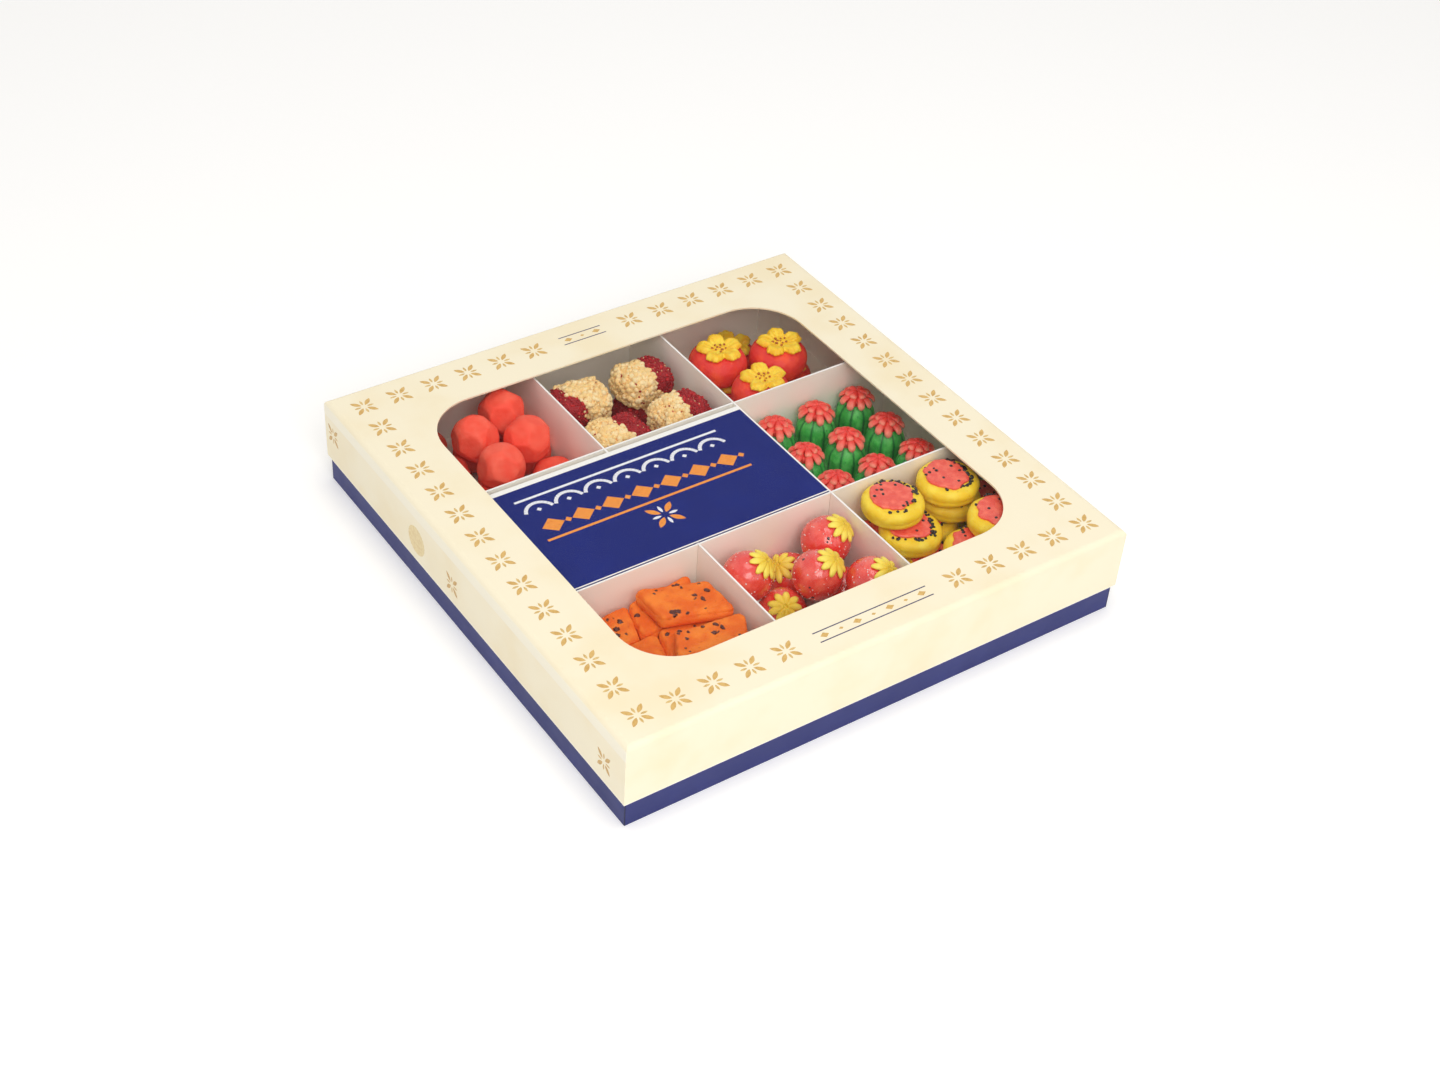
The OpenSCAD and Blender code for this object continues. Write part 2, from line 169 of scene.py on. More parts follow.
class Shape:
    """Vertices and faces of one piece, with a material number on each face and a mark, 0 to 1,
    on each vertex, that a material can read."""

    def __init__(self):
        self.points, self.faces, self.slots, self.marks, self.count = [], [], [], [], 0

    def add(self, points, faces, slot=0, marks=0.0):
        self.points.append(np.asarray(points, float))
        self.faces += [tuple(i + self.count for i in f) for f in faces]
        self.slots += [slot] * len(faces)
        self.marks.append(np.broadcast_to(marks, len(points)))
        self.count += len(points)


def thing(name, data):
    """A new object in the scene."""
    made = bpy.data.objects.new(name, data)
    bpy.context.scene.collection.objects.link(made)
    return made


def make(name, shape, looks, body, nodes=()):
    """Turns a shape into a piece that rides on a body and replaces nodes of the frame."""
    mesh = bpy.data.meshes.new(name)
    mesh.from_pydata((np.concatenate(shape.points) * MM).tolist(), [], shape.faces)
    for look in looks:
        mesh.materials.append(look)
    mesh.polygons.foreach_set("material_index", shape.slots)
    mesh.polygons.foreach_set("use_smooth", [True] * len(mesh.polygons))
    marks = np.concatenate(shape.marks)
    if marks.any():
        mesh.attributes.new("mark", "FLOAT", "POINT").data.foreach_set("value", marks)
    work = bmesh.new()
    work.from_mesh(mesh)
    bmesh.ops.recalc_face_normals(work, faces=work.faces)
    work.to_mesh(mesh)
    work.free()
    piece = thing(name, mesh)
    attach(piece, body)
    if nodes:
        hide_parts(*nodes)


def circle(segs):
    """Evenly spaced angles round a circle."""
    return np.arange(segs) * 2 * math.pi / segs


def ring(radius, angles, z, at=(0, 0)):
    """Points round a place at height z; the radius is one number or one for each angle."""
    return np.stack([radius * np.cos(angles) + at[0], radius * np.sin(angles) + at[1],
                     np.broadcast_to(z, len(angles))], 1)


def ring_faces(rings, segs):
    """Quads of a grid of rings, numbered ring by ring."""
    return [(a * segs + b, a * segs + (b + 1) % segs,
             (a + 1) * segs + (b + 1) % segs, (a + 1) * segs + b)
            for a in range(rings - 1) for b in range(segs)]


def loft(rings):
    """Closed surface through equally long rings, with a point in the middle of each end."""
    segs = len(rings[0])
    points = np.concatenate(list(rings) + [[rings[0].mean(0)], [rings[-1].mean(0)]])
    faces = ring_faces(len(rings), segs)
    low, top, first = len(points) - 2, len(points) - 1, (len(rings) - 1) * segs
    faces += [(low, (b + 1) % segs, b) for b in range(segs)]
    faces += [(top, first + b, first + (b + 1) % segs) for b in range(segs)]
    return points, faces


def ico(level):
    """Unit sphere of triangles."""
    if level not in ico.made:
        ball = bmesh.new()
        bmesh.ops.create_icosphere(ball, subdivisions=level, radius=1)
        ico.made[level] = (np.array([v.co for v in ball.verts]),
                           [tuple(v.index for v in f.verts) for f in ball.faces])
        ball.free()
    return ico.made[level]


ico.made = {}


def grain(shape, at, normal, size, rng, slot, level, flat, rough, mark=0.0):
    """A small irregular crumb, dot or seed that sits on a surface."""
    points, faces = ico(level)
    lumps = 1 + rough * np.array([rng.uniform(-1, 1) for _ in points])
    stretch = np.array(size) * [1, rng.uniform(0.8, 1.2), flat]
    turn = turn_to(normal, rng.uniform(0, 2 * math.pi))
    shape.add((points * lumps[:, None] * stretch) @ turn.T + at, faces, slot, mark)


def petal(shape, line, widths, thick, up, segs, marks):
    """A petal: an oval section swept along a line, with a width, thickness and mark at each point."""
    line = np.asarray(line, float)
    angles = circle(segs)
    rings = []
    for i, at in enumerate(line):
        ahead = unit(line[min(i + 1, len(line) - 1)] - line[max(i - 1, 0)])
        side = unit(np.cross(up, ahead))
        rise = np.cross(ahead, side)
        rings.append(at + np.outer(np.cos(angles) * widths[i] / 2, side)
                     + np.outer(np.sin(angles) * thick[i] / 2, rise))
    points, faces = loft(rings)
    shape.add(points, faces, 0, [*np.repeat(marks, segs), marks[0], marks[-1]])


def puck_profile(d, h, edge, rings, dome=0.0):
    """Half outline of a round puck with rolled edges, from the bottom's middle to the top's."""
    r = d / 2 - edge
    arc = np.linspace(0, math.pi / 2, rings)
    flat = np.linspace(0.15, 1, 5)[:-1] * r
    low = [(x, 0) for x in flat]
    low += [(r + edge * math.sin(a), edge - edge * math.cos(a)) for a in arc]
    side = [(d / 2, z) for z in np.linspace(edge, h - edge, 4)[1:-1]] if h > 2 * edge else []
    top = [(r + edge * math.cos(a), h - edge + edge * math.sin(a)) for a in arc]
    top += [(x, h + dome * (1 - (x / r) ** 2)) for x in flat[::-1]]
    return low + side + top


def lathe(profile, segs, outline=None):
    """Rings of a turned form; outline gives the share of the radius at each angle."""
    angles = circle(segs)
    share = np.ones(segs) if outline is None else np.array([outline(a) for a in angles])
    return [ring(r * share, angles, z) for r, z in profile]


def lobes(a, count, share):
    """Radius, at angle a, of a flat rosette of round petals, as a share of its outer radius."""
    s = math.sin(math.pi / count)
    r = s / (1 + s) * share
    at = 1 - r
    half = math.pi / count
    off = (a + half) % (2 * half) - half
    inside = r * r - (at * math.sin(off)) ** 2
    return at * math.cos(off) + math.sqrt(inside) if inside > 0 else at


# Node materials

def srgb(*rgb):
    """A colour as it shows on a screen, 0 to 255, in the linear values that the shaders take."""
    return tuple(c / 3294.6 if c < 10.3 else ((c / 255 + 0.055) / 1.055) ** 2.4 for c in rgb) + (1,)


class Look:
    """A node material whose colour, roughness and relief come from patterns in the piece's frame."""

    def __init__(self, name, colour, rough, **values):
        self.made = bpy.data.materials.new(name)
        self.made.use_nodes = True
        self.tree = self.made.node_tree
        self.shader = self.tree.nodes["Principled BSDF"]
        self.shader.inputs["Base Color"].default_value = colour
        self.shader.inputs["Roughness"].default_value = rough
        for key, value in values.items():
            self.shader.inputs[key.replace("_", " ")].default_value = value
        self.at = self.node("ShaderNodeTexCoord").outputs["Object"]
        self.colour = colour
        self.relief = None

    def node(self, kind, **settings):
        made = self.tree.nodes.new(kind)
        for key, value in settings.items():
            setattr(made, key, value)
        return made

    def put(self, socket, value):
        if hasattr(value, "is_output"):
            self.tree.links.new(value, socket)
        else:
            socket.default_value = value

    def stretch(self, x, y, z):
        """The place, stretched by shares along the axes."""
        moved = self.node("ShaderNodeMapping")
        self.put(moved.inputs["Vector"], self.at)
        moved.inputs["Scale"].default_value = (x, y, z)
        return moved.outputs["Vector"]

    def noise(self, size, detail=2.0, at=None):
        made = self.node("ShaderNodeTexNoise")
        self.put(made.inputs["Vector"], at or self.at)
        made.inputs["Scale"].default_value = 1 / (size * MM)
        made.inputs["Detail"].default_value = detail
        return made.outputs["Fac"]

    def axis(self, letter):
        split = self.node("ShaderNodeSeparateXYZ")
        self.put(split.inputs[0], self.at)
        return split.outputs[letter]

    def band(self, value, low, high):
        """0 below low and 1 above high, with a smooth step between them."""
        made = self.node("ShaderNodeMapRange", interpolation_type="SMOOTHSTEP")
        self.put(made.inputs["Value"], value)
        made.inputs["From Min"].default_value = low
        made.inputs["From Max"].default_value = high
        return made.outputs["Result"]

    def along(self, letter, start, end):
        """0 to 1 between two places on an axis, in millimetres."""
        return self.band(self.axis(letter), start * MM, end * MM)

    def sum(self, kind, a, b=0.0):
        made = self.node("ShaderNodeMath", operation=kind)
        self.put(made.inputs[0], a)
        self.put(made.inputs[1], b)
        return made.outputs[0]

    def paint(self, share, colour):
        """Lays a colour over the present one where share is 1."""
        made = self.node("ShaderNodeMix", data_type="RGBA")
        self.put(made.inputs[0], share)
        self.put(made.inputs[6], self.colour)
        self.put(made.inputs[7], colour)
        self.colour = made.outputs[2]
        self.put(self.shader.inputs["Base Color"], self.colour)

    def gloss(self, share, low, high):
        """Roughness from low, where share is 0, to high."""
        made = self.node("ShaderNodeMapRange")
        self.put(made.inputs["Value"], share)
        made.inputs["To Min"].default_value = low
        made.inputs["To Max"].default_value = high
        self.put(self.shader.inputs["Roughness"], made.outputs["Result"])

    def bump(self, height, depth):
        """Relief of the given depth in millimetres."""
        made = self.node("ShaderNodeBump")
        made.inputs["Distance"].default_value = depth * MM
        self.put(made.inputs["Height"], height)
        if self.relief:
            self.put(made.inputs["Normal"], self.relief)
        self.relief = made.outputs["Normal"]
        self.put(self.shader.inputs["Normal"], self.relief)

    def spots(self, size, detail, low, high, colour):
        """Soft spots of a colour, where noise of the given size is high."""
        self.paint(self.band(self.noise(size, detail), low, high), colour)

    def marked(self, low, high, colour):
        """A colour where the mark of the piece is high."""
        mark = self.node("ShaderNodeAttribute", attribute_name="mark").outputs["Fac"]
        self.paint(self.band(mark, low, high), colour)

    def sheen(self, size, low, high):
        """Roughness that wanders from low to high."""
        self.gloss(self.noise(size), low, high)

    def lumps(self, size, detail, depth):
        """Relief of noise of the given size and depth in millimetres."""
        self.bump(self.noise(size, detail), depth)


def paste(name, colour, rough, soft, **values):
    """A look that lets a little light in, as sweets do."""
    return Look(name, colour, rough, Subsurface_Weight=soft, Subsurface_Scale=0.002, **values)


def dress(node, *looks):
    """Gives its materials to a node of the frame that stays."""
    for slot, look in zip(frame["nodes"][node].material_slots, looks):
        slot.material = look


# Board and film

lid_low, lid_high = (np.array(v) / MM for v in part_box("lid_shell"))
tray_high = np.array(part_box("base_tray")[1]) / MM
cover_low, cover_high = (np.array(v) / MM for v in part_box("centre_cover"))
divider_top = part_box("divider_front")[1][2] / MM

CREAM = srgb(250, 240, 212)
# Paler cream, painted as a highlight on the upper band of the lid's left face
CREAM_HIGHLIGHT = srgb(252, 245, 224)
NAVY = srgb(44, 50, 112)
NAVY_DEEP = srgb(24, 27, 66)
PALE = srgb(255, 249, 238)
BLUE = srgb(18, 32, 112)
WHITE = srgb(252, 250, 246)
GOLD = srgb(222, 182, 108)
ORANGE = srgb(244, 152, 52)


def paper(look, size=0.5, depth=0.012):
    """Fibres and the slow waves of coated board."""
    look.lumps(size, 4, depth)
    look.lumps(size * 60, 1, depth * 12)
    return look


def lid_look():
    look = Look("lid_board", CREAM, 0.42, Coat_Weight=0.06, Coat_Roughness=0.3)
    look.spots(38, 3, 0.4, 0.75, srgb(247, 233, 198))
    # Painted highlight: the top 8 mm of the lid's left face is painted a paler cream, standing in for
    # light on its shoulder.
    highlight_band = look.along("Z", lid_high[2] - 9, lid_high[2] - 8)
    left = look.along("X", lid_low[0] + 0.3, lid_low[0] + 0.1)
    look.paint(look.sum("MULTIPLY", highlight_band, left), CREAM_HIGHLIGHT)
    look.paint(look.along("Z", lid_low[2] + 0.5, lid_low[2] + 0.2), WHITE)
    look.sheen(9, 0.36, 0.5)
    return paper(look).made


def tray_look():
    look = Look("tray_board", NAVY, 0.5, Specular_IOR_Level=0.3)
    look.spots(30, 3, 0.42, 0.75, srgb(50, 57, 122))
    x = look.sum("ABSOLUTE", look.axis("X"))
    y = look.sum("ABSOLUTE", look.axis("Y"))
    outer = tray_high[0]
    corner = look.sum("MINIMUM", x, y)
    look.paint(look.band(corner, (outer - 0.8) * MM, (outer - 0.15) * MM), NAVY_DEEP)
    wall = look.band(look.sum("MAXIMUM", x, y), (outer - 0.3) * MM, (outer - 0.6) * MM)
    look.paint(look.sum("MULTIPLY", wall, look.along("Z", 0.3, 0.6)), PALE)
    look.sheen(8, 0.4, 0.55)
    return paper(look).made


def divider_look():
    look = Look("divider_board", PALE, 0.62)
    look.spots(24, 3, 0.4, 0.8, srgb(252, 244, 231))
    look.spots(0.9, 2, 0.62, 0.78, srgb(249, 240, 226))
    look.paint(look.along("Z", divider_top - 0.5, divider_top - 0.2), WHITE)
    return paper(look, 0.6, 0.02).made


# Width of the unprinted strip along the cover's back edge
COVER_WHITE = 3.2


def cover_look():
    look = Look("cover_card", BLUE, 0.6, Specular_IOR_Level=0.15)
    look.spots(22, 3, 0.4, 0.8, srgb(22, 37, 120))
    look.spots(1.3, 2, 0.6, 0.8, srgb(26, 41, 124))
    back = cover_high[1] - COVER_WHITE
    look.paint(look.along("Y", back - 0.1, back + 0.1), WHITE)
    right = look.along("X", cover_high[0] - 0.55, cover_high[0] - 0.35)
    front = look.along("Y", cover_low[1] + 0.55, cover_low[1] + 0.35)
    top = look.along("Z", cover_high[2] - 0.5, cover_high[2] - 0.3)
    look.paint(look.sum("MULTIPLY", look.sum("MAXIMUM", right, front), top), WHITE)
    inside = look.along("Z", cover_high[2] - 0.4, cover_high[2] - 0.6)
    for corner, sign in ((cover_low, 1), (cover_high, -1)):
        gaps = [look.sum("MULTIPLY", look.sum("SUBTRACT", look.axis(letter), at * MM), sign)
                for letter, at in zip("XY", corner)]
        near = look.band(look.sum("MINIMUM", *gaps), 0.2 * MM, 0.5 * MM)
        inside = look.sum("MULTIPLY", inside, near)
    look.paint(inside, PALE)
    return paper(look).made


def film_look():
    look = Look("clear_film", srgb(120, 124, 128), 0.05, Alpha=0.02, IOR=1.45)
    look.lumps(60, 1, 0.25)
    look.sheen(25, 0.03, 0.07)
    return look.made


dress("lid_shell", lid_look())
dress("base_tray", tray_look())
for name in ("divider_front", "divider_back", "divider_left", "divider_right"):
    dress(name, divider_look())
dress("centre_cover", cover_look())
dress("window_film", film_look())


# Foil ornament

# Height of the foil over its board
FOIL_RISE = 0.04
# Rosettes round the lid's top: inset, number on a side, radius, and those left out at front and back
BORDER_INSET = 15.8
BORDER_COUNT = 14
MOTIF_R = 8.0
FRONT_BARE = (5, 6, 7, 8)
BACK_BARE = (6, 7)


def leaf(shape, at, along, across, normal, start, length, width, slot):
    """A flat lens-shaped leaf, raised a little along its middle."""
    steps = 7
    t = np.linspace(0, 1, steps)
    half = width / 2 * np.sin(math.pi * t) ** 0.8
    middle = at + np.outer(start + t * length, along)
    lift = np.outer(0.3 * FOIL_RISE + FOIL_RISE * np.sin(math.pi * t), normal)
    left = middle + np.outer(half, across) + 0.3 * FOIL_RISE * normal
    right = middle - np.outer(half, across) + 0.3 * FOIL_RISE * normal
    points = np.concatenate([left, middle + lift, right])
    faces = []
    for i in range(steps - 1):
        faces += [(i, i + 1, steps + i + 1, steps + i),
                  (steps + i, steps + i + 1, 2 * steps + i + 1, 2 * steps + i)]
    shape.add(points, faces, slot)


def rosette(shape, at, right, up, r, slots=(0, 1)):
    """Four long and four small leaves round a point."""
    normal = np.cross(right, up)
    for k in range(8):
        a = rad(45 * k)
        along = math.cos(a) * right + math.sin(a) * up
        across = math.cos(a) * up - math.sin(a) * right
        if k % 2:
            leaf(shape, at, along, across, normal, 0.2 * r, 0.8 * r, 0.31 * r, slots[0])
        else:
            leaf(shape, at, along, across, normal, 0.2 * r, 0.5 * r, 0.17 * r, slots[1])


def lozenge(shape, at, right, up, w, h, slot):
    """A flat diamond, raised in its middle."""
    normal = np.cross(right, up)
    corners = [at + right * w / 2, at + up * h / 2, at - right * w / 2, at - up * h / 2]
    points = [p + 0.3 * FOIL_RISE * normal for p in corners] + [at + FOIL_RISE * normal]
    shape.add(points, [(i, (i + 1) % 4, 4) for i in range(4)], slot)


def rule(shape, a, b, up, thick, slot):
    """A thin straight line."""
    a, b, up = (np.asarray(v, float) for v in (a, b, up))
    normal = np.cross(unit(b - a), up)
    lift = 0.5 * FOIL_RISE * normal
    corners = [a - up * thick / 2, b - up * thick / 2, b + up * thick / 2, a + up * thick / 2]
    shape.add([p + lift for p in corners], [(0, 1, 2, 3)], slot)


def foil_look(name, colour, deep):
    look = Look(name, colour, 0.34, Metallic=0.12)
    look.spots(1.6, 2, 0.35, 0.75, deep)
    look.sheen(0.8, 0.28, 0.45)
    look.lumps(0.5, 3, 0.01)
    return look.made


def border():
    """Rosettes round the lid's top, with generic ornament at its two open places."""
    shape = Shape()
    x, y, z = np.eye(3)
    top = lid_high[2]
    reach = lid_high[0] - BORDER_INSET
    step = 2 * reach / (BORDER_COUNT - 1)
    for i in range(BORDER_COUNT):
        p = -reach + i * step
        if i not in FRONT_BARE:
            rosette(shape, p * x - reach * y + top * z, x, y, MOTIF_R)
        if i not in BACK_BARE:
            rosette(shape, p * x + reach * y + top * z, x, y, MOTIF_R)
        if 0 < i < BORDER_COUNT - 1:
            for side in (-reach, reach):
                rosette(shape, side * x + p * y + top * z, x, y, MOTIF_R)
    for side, bare in ((-1, FRONT_BARE), (1, BACK_BARE)):
        a = -reach + (bare[0] - 0.15) * step
        b = -reach + (bare[-1] + 0.15) * step
        middle = (a + b) / 2
        for off in (-1, 1):
            line_y = side * reach + off * 3.4
            rule(shape, (a, line_y, top), (b, line_y, top), y, 0.7, 2)
        count = 2 * len(bare) - 1
        for k in range(count):
            at = np.array([middle + (k - (count - 1) / 2) * (b - a) / count, side * reach, top])
            lozenge(shape, at, x, y, *((2.6, 1.8) if k % 2 else (5.2, 3.6)), 0)
    looks = [foil_look("gold_foil", GOLD, srgb(206, 162, 86)),
             foil_look("gold_foil_light", srgb(226, 194, 128), srgb(205, 166, 96)),
             foil_look("dark_line", srgb(86, 82, 112), srgb(60, 58, 90))]
    make("lid_border", shape, looks, "lid")


# Places on the left face, along Y and Z, and the radius of the seal
LEFT_MOTIFS = ((-132, 28.6), (11, 27.4), (141, 34))
SEAL_AT = (48, 29)
SEAL_R = 8.5


def left_face():
    """Rosettes and a plain round seal on the lid's left face."""
    shape = Shape()
    right, up = np.array([0, -1.0, 0]), np.array([0, 0, 1.0])
    wall = lid_low[0]
    for y, z in LEFT_MOTIFS:
        rosette(shape, np.array([wall, y, z]), right, up, MOTIF_R * 0.95)
    segs = 48
    angles = circle(segs)
    rings = []
    for share, rise in ((1, 0.2), (0.96, 1), (0.8, 1), (0.77, 0.4), (0.6, 0.5)):
        wave = SEAL_R * share * (1 + 0.02 * np.cos(24 * angles))
        rings.append(np.roll(ring(wave, angles, wall - FOIL_RISE * rise, SEAL_AT), 1, axis=1))
    points = np.concatenate(rings + [[[wall - FOIL_RISE, *SEAL_AT]]])
    faces = ring_faces(len(rings), segs)
    first = (len(rings) - 1) * segs
    faces += [(first + b, first + (b + 1) % segs, len(points) - 1) for b in range(segs)]
    shape.add(points, faces, 2)
    looks = [foil_look("side_foil", srgb(212, 172, 100), srgb(196, 152, 80)),
             foil_look("side_foil_light", srgb(222, 188, 122), srgb(206, 168, 98)),
             foil_look("seal_foil", srgb(236, 216, 164), srgb(226, 200, 142))]
    make("lid_left_ornament", shape, looks, "lid")


# Places on the cover: shift of the ornament to the right of its middle, and heights of its rows
ORNAMENT_SHIFT = 10
SCALLOPS_AT, DIAMONDS_AT, ROSETTE_AT = 17, 5.5, -16
RULES_AT = ((-4, 1), (29.5, 0))
SCALLOP_COUNT, SCALLOP_PITCH, SCALLOP_R = 7, 17.5, 8.0
ORNAMENT_LINE = 2.0


def cover_ornament():
    """White scallops over a row of orange diamonds and a rosette, on the cover's middle."""
    shape = Shape()
    x, y, z = np.eye(3)
    top = cover_high[2]
    middle_x = (cover_low[0] + cover_high[0]) / 2 + ORNAMENT_SHIFT
    middle_y = (cover_low[1] + cover_high[1]) / 2
    for k in range(SCALLOP_COUNT):
        cx = middle_x + (k - (SCALLOP_COUNT - 1) / 2) * SCALLOP_PITCH
        ends = [np.array([cx + SCALLOP_R * math.cos(a),
                          middle_y + SCALLOPS_AT + SCALLOP_R * math.sin(a), top])
                for a in np.linspace(rad(15), rad(165), 13)]
        for a, b in zip(ends, ends[1:]):
            rule(shape, b, a, np.cross(z, unit(a - b)), ORNAMENT_LINE, 0)
        row = middle_y + DIAMONDS_AT
        lozenge(shape, np.array([cx, middle_y + SCALLOPS_AT + 2.5, top]), x, y, 3, 3, 0)
        lozenge(shape, np.array([cx, row, top]), x, y, 13, 11, 1)
        lozenge(shape, np.array([cx + SCALLOP_PITCH / 2, row, top]), x, y, 4, 4, 1)
    half = SCALLOP_COUNT * SCALLOP_PITCH / 2
    for off, slot in RULES_AT:
        rule(shape, (middle_x - half, middle_y + off, top), (middle_x + half, middle_y + off, top),
             y, 0.8 * ORNAMENT_LINE, slot)
    rosette(shape, np.array([middle_x, middle_y + ROSETTE_AT, top]), x, y, 1.35 * MOTIF_R, (1, 0))
    white = Look("print_white", srgb(240, 240, 246), 0.5)
    white.spots(0.8, 2, 0.5, 0.8, srgb(205, 208, 228))
    orange = Look("print_orange", ORANGE, 0.5)
    orange.spots(0.9, 2, 0.45, 0.8, srgb(226, 122, 34))
    make("cover_ornament", shape, [white.made, orange.made], "cover")


border()
left_face()
cover_ornament()


# Pieces of a kind of sweet

# Level of detail of the loose sweets, and the highest one that counts as coarse
FINE = 5
COARSE = 3


def pick(level, fine, coarse):
    """One of two values, by the level of detail."""
    return fine if level > COARSE else coarse


def loose_and_bed(stem, count):
    """Names of the loose sweets of a kind and of its bed."""
    return [f"{stem}_{i}" for i in range(1, count + 1)] + [f"{stem}_bed"]


def each(stem, count, build, looks, bed_level=COARSE):
    """One piece for each loose sweet of a kind, and one for its bed."""
    number = 0
    for name in loose_and_bed(stem, count):
        shape = Shape()
        for solid in islands(name):
            build(shape, solid, number, bed_level if name.endswith("bed") else FINE)
            number += 1
        make(f"look_{name}", shape, looks, "tray", [name])


def toppings(node, build, looks):
    """One piece with all the flowers or icing caps of a node."""
    shape = Shape()
    for number, solid in enumerate(islands(node)):
        build(shape, solid, number)
    make(f"look_{node}", shape, looks, "tray", [node])


# Coral balls

def soft_planes(points, planes, soft):
    """Share of the radius along each direction, cut softly by planes (direction, distance)."""
    share = np.full(len(points), 1.0)
    total = np.exp(-soft * share)
    for direction, distance in planes:
        cos = np.clip(points @ direction, 0.05, 1)
        total += np.exp(-soft * np.minimum(distance / cos, 2.0))
    return -np.log(total) / soft + math.log(1.15) / soft


def coral_ball(shape, solid, number, level):
    middle, r = ball_of(solid[0])
    rng = random.Random(100 + number)
    dirs, faces = ico(level)
    spin = turn_to(any_way(rng), rng.uniform(0, 6))
    planes = [(unit(spin @ v + jolt(rng, 0.24)), rng.uniform(0.79, 0.87)) for v in ico(1)[0]]
    share = np.minimum(soft_planes(dirs, planes, 130) * 1.07, 1)
    share += 0.014 * field(dirs, 0.35, number, 2) - 0.014
    shape.add(dirs * (r * share)[:, None] + middle, faces)


def coral_look():
    look = paste("coral_paste", srgb(252, 84, 62), 0.6, 0.05, Specular_IOR_Level=0.3)
    look.spots(7, 3, 0.35, 0.7, srgb(255, 104, 80))
    look.spots(1.1, 3, 0.64, 0.8, srgb(255, 128, 104))
    look.sheen(3, 0.5, 0.68)
    look.lumps(0.45, 4, 0.1)
    look.lumps(3.2, 2, 0.35)
    return look.made


each("coral_ball", 4, coral_ball, [coral_look()], 4)


# Crumb cookies

# Size of the largest crumbs, and how many lie on a fine and on a coarse cookie
CRUMB = 2.0
CRUMBS = (1050, 220)
# Side of each cookie that is red, and how far it reaches
RED_SIDES = (((0.95, 0.2, 0.12), 0.12), ((0.9, -0.1, 0.1), 0.16), ((-0.9, -0.2, -0.3), 0.3),
             ((0.95, 0.15, 0.1), 0.2))


def spread(count, rng):
    """Directions spread evenly over a sphere, each a little off its place."""
    k = np.arange(count) + 0.5
    tilt, turn = np.arccos(1 - 2 * k / count), math.pi * (1 + math.sqrt(5)) * k
    even = np.stack([np.sin(tilt) * np.cos(turn), np.sin(tilt) * np.sin(turn), np.cos(tilt)], 1)
    return [unit(v + jolt(rng, 1.2 / math.sqrt(count))) for v in even]


def reach_of(tree, middle, d):
    """Distance from the middle to the skin, past cracks between faces."""
    for nudge in (0, 0.003, -0.003, 0.01):
        hit = tree.ray_cast(Vector(middle), Vector(d + nudge))
        if hit[3]:
            return hit[3]
    return tree.find_nearest(Vector(middle))[3]


def soften(values, faces, times):
    """Values at the points of a closed mesh, drawn towards those of their neighbours."""
    ends = np.array([(f[i], f[i - 1]) for f in faces for i in range(len(f))])
    count = np.bincount(ends[:, 0])
    for _ in range(times):
        values = (values + np.bincount(ends[:, 0], values[ends[:, 1]]) / count) / 2
    return values


def cookie(shape, solid, number, level):
    points, faces = solid
    low, _, middle = extent(points)
    tree = BVHTree.FromPolygons([Vector(p) for p in points], faces)
    rng = random.Random(300 + number)
    dirs, ball = ico(pick(level, 5, 4))
    body = np.array([reach_of(tree, middle, d) for d in dirs])
    body = np.minimum(body, soften(body, ball, pick(level, 10, 4))) - CRUMB * 0.35
    spots = dirs * body[:, None]
    body += 0.9 * field(spots, 6, number, 1) + 0.45 * field(spots, 2.4, number + 9, 2) - 0.5
    skin = middle + dirs * body[:, None]
    skin[:, 2] = np.maximum(skin[:, 2], low[2])
    way, reach = RED_SIDES[number % 4]
    side = dirs @ unit(way) + 0.2 * field(dirs, 0.5, number + 3, 2) - reach
    for slot in (0, 1):
        part = [f for f in ball if (np.mean(side[list(f)]) > 0) == bool(slot)]
        shape.add(skin, part, slot, 0.0 if slot else smooth_step(-side, 0.35, 0))
    for d in spread(pick(level, *CRUMBS), rng):
        i = int(np.argmax(dirs @ d))
        if skin[i][2] < low[2] + CRUMB:
            continue
        red = side[i] > rng.gauss(0, 0.07)
        stray = rng.random() < 0.08
        size = rng.uniform(0.35, 1.0) ** 1.2 * CRUMB * (0.5 if red else 0.92)
        size *= (0.5 if stray else 1) * pick(level, 1, 1.5)
        mark = rng.random() if red or rng.random() > 0.3 else smooth_step(-side[i], 0.3, 0)
        grain(shape, skin[i] + d * size * 0.25, d, size, rng, int(red != stray),
              2 if size > 0.9 else 1, rng.uniform(0.7, 1.0), 0.16, mark)


def crumb_looks():
    cream = Look("crumb_cream", srgb(250, 214, 148), 0.8, Subsurface_Weight=0.05,
                 Subsurface_Scale=0.001)
    cream.marked(0.2, 0.9, srgb(254, 230, 178))
    cream.spots(1.4, 3, 0.6, 0.72, srgb(238, 176, 108))
    cream.paint(cream.band(cream.noise(1.3, 2, cream.stretch(1.3, 0.8, 1)), 0.69, 0.74),
                srgb(214, 92, 72))
    cream.lumps(0.5, 3, 0.16)
    red = Look("crumb_red", srgb(158, 18, 28), 0.72)
    red.marked(0.3, 1.0, srgb(204, 38, 42))
    red.spots(1.2, 3, 0.62, 0.78, srgb(118, 10, 20))
    red.lumps(0.4, 3, 0.16)
    return [cream.made, red.made]


each("crumb_cookie", 4, cookie, crumb_looks())


# Flowered rounds

def flowered_round(shape, solid, number, level):
    (d, _, h), base = stand(solid[0])
    rings = lathe(puck_profile(d - 0.3, h, min(7.4, h * 0.43), 10), pick(level, 72, 48))
    points, faces = loft(rings)
    wave = field(points, 9, 40 + number, 1) * 0.35 + field(points, 2.5, 60 + number, 2) * 0.2
    keep = 1 - smooth_step(points[:, 2], h - 0.8, h)
    grow = 1 + (wave - 0.3) / (d / 2)
    points = points * np.stack([grow, grow, np.ones(len(points))], 1)
    points[:, 2] += np.minimum(wave, 0) * keep * (points[:, 2] > 2)
    points[:, 2] = np.maximum(points[:, 2], 0)
    shape.add(points + base, faces)


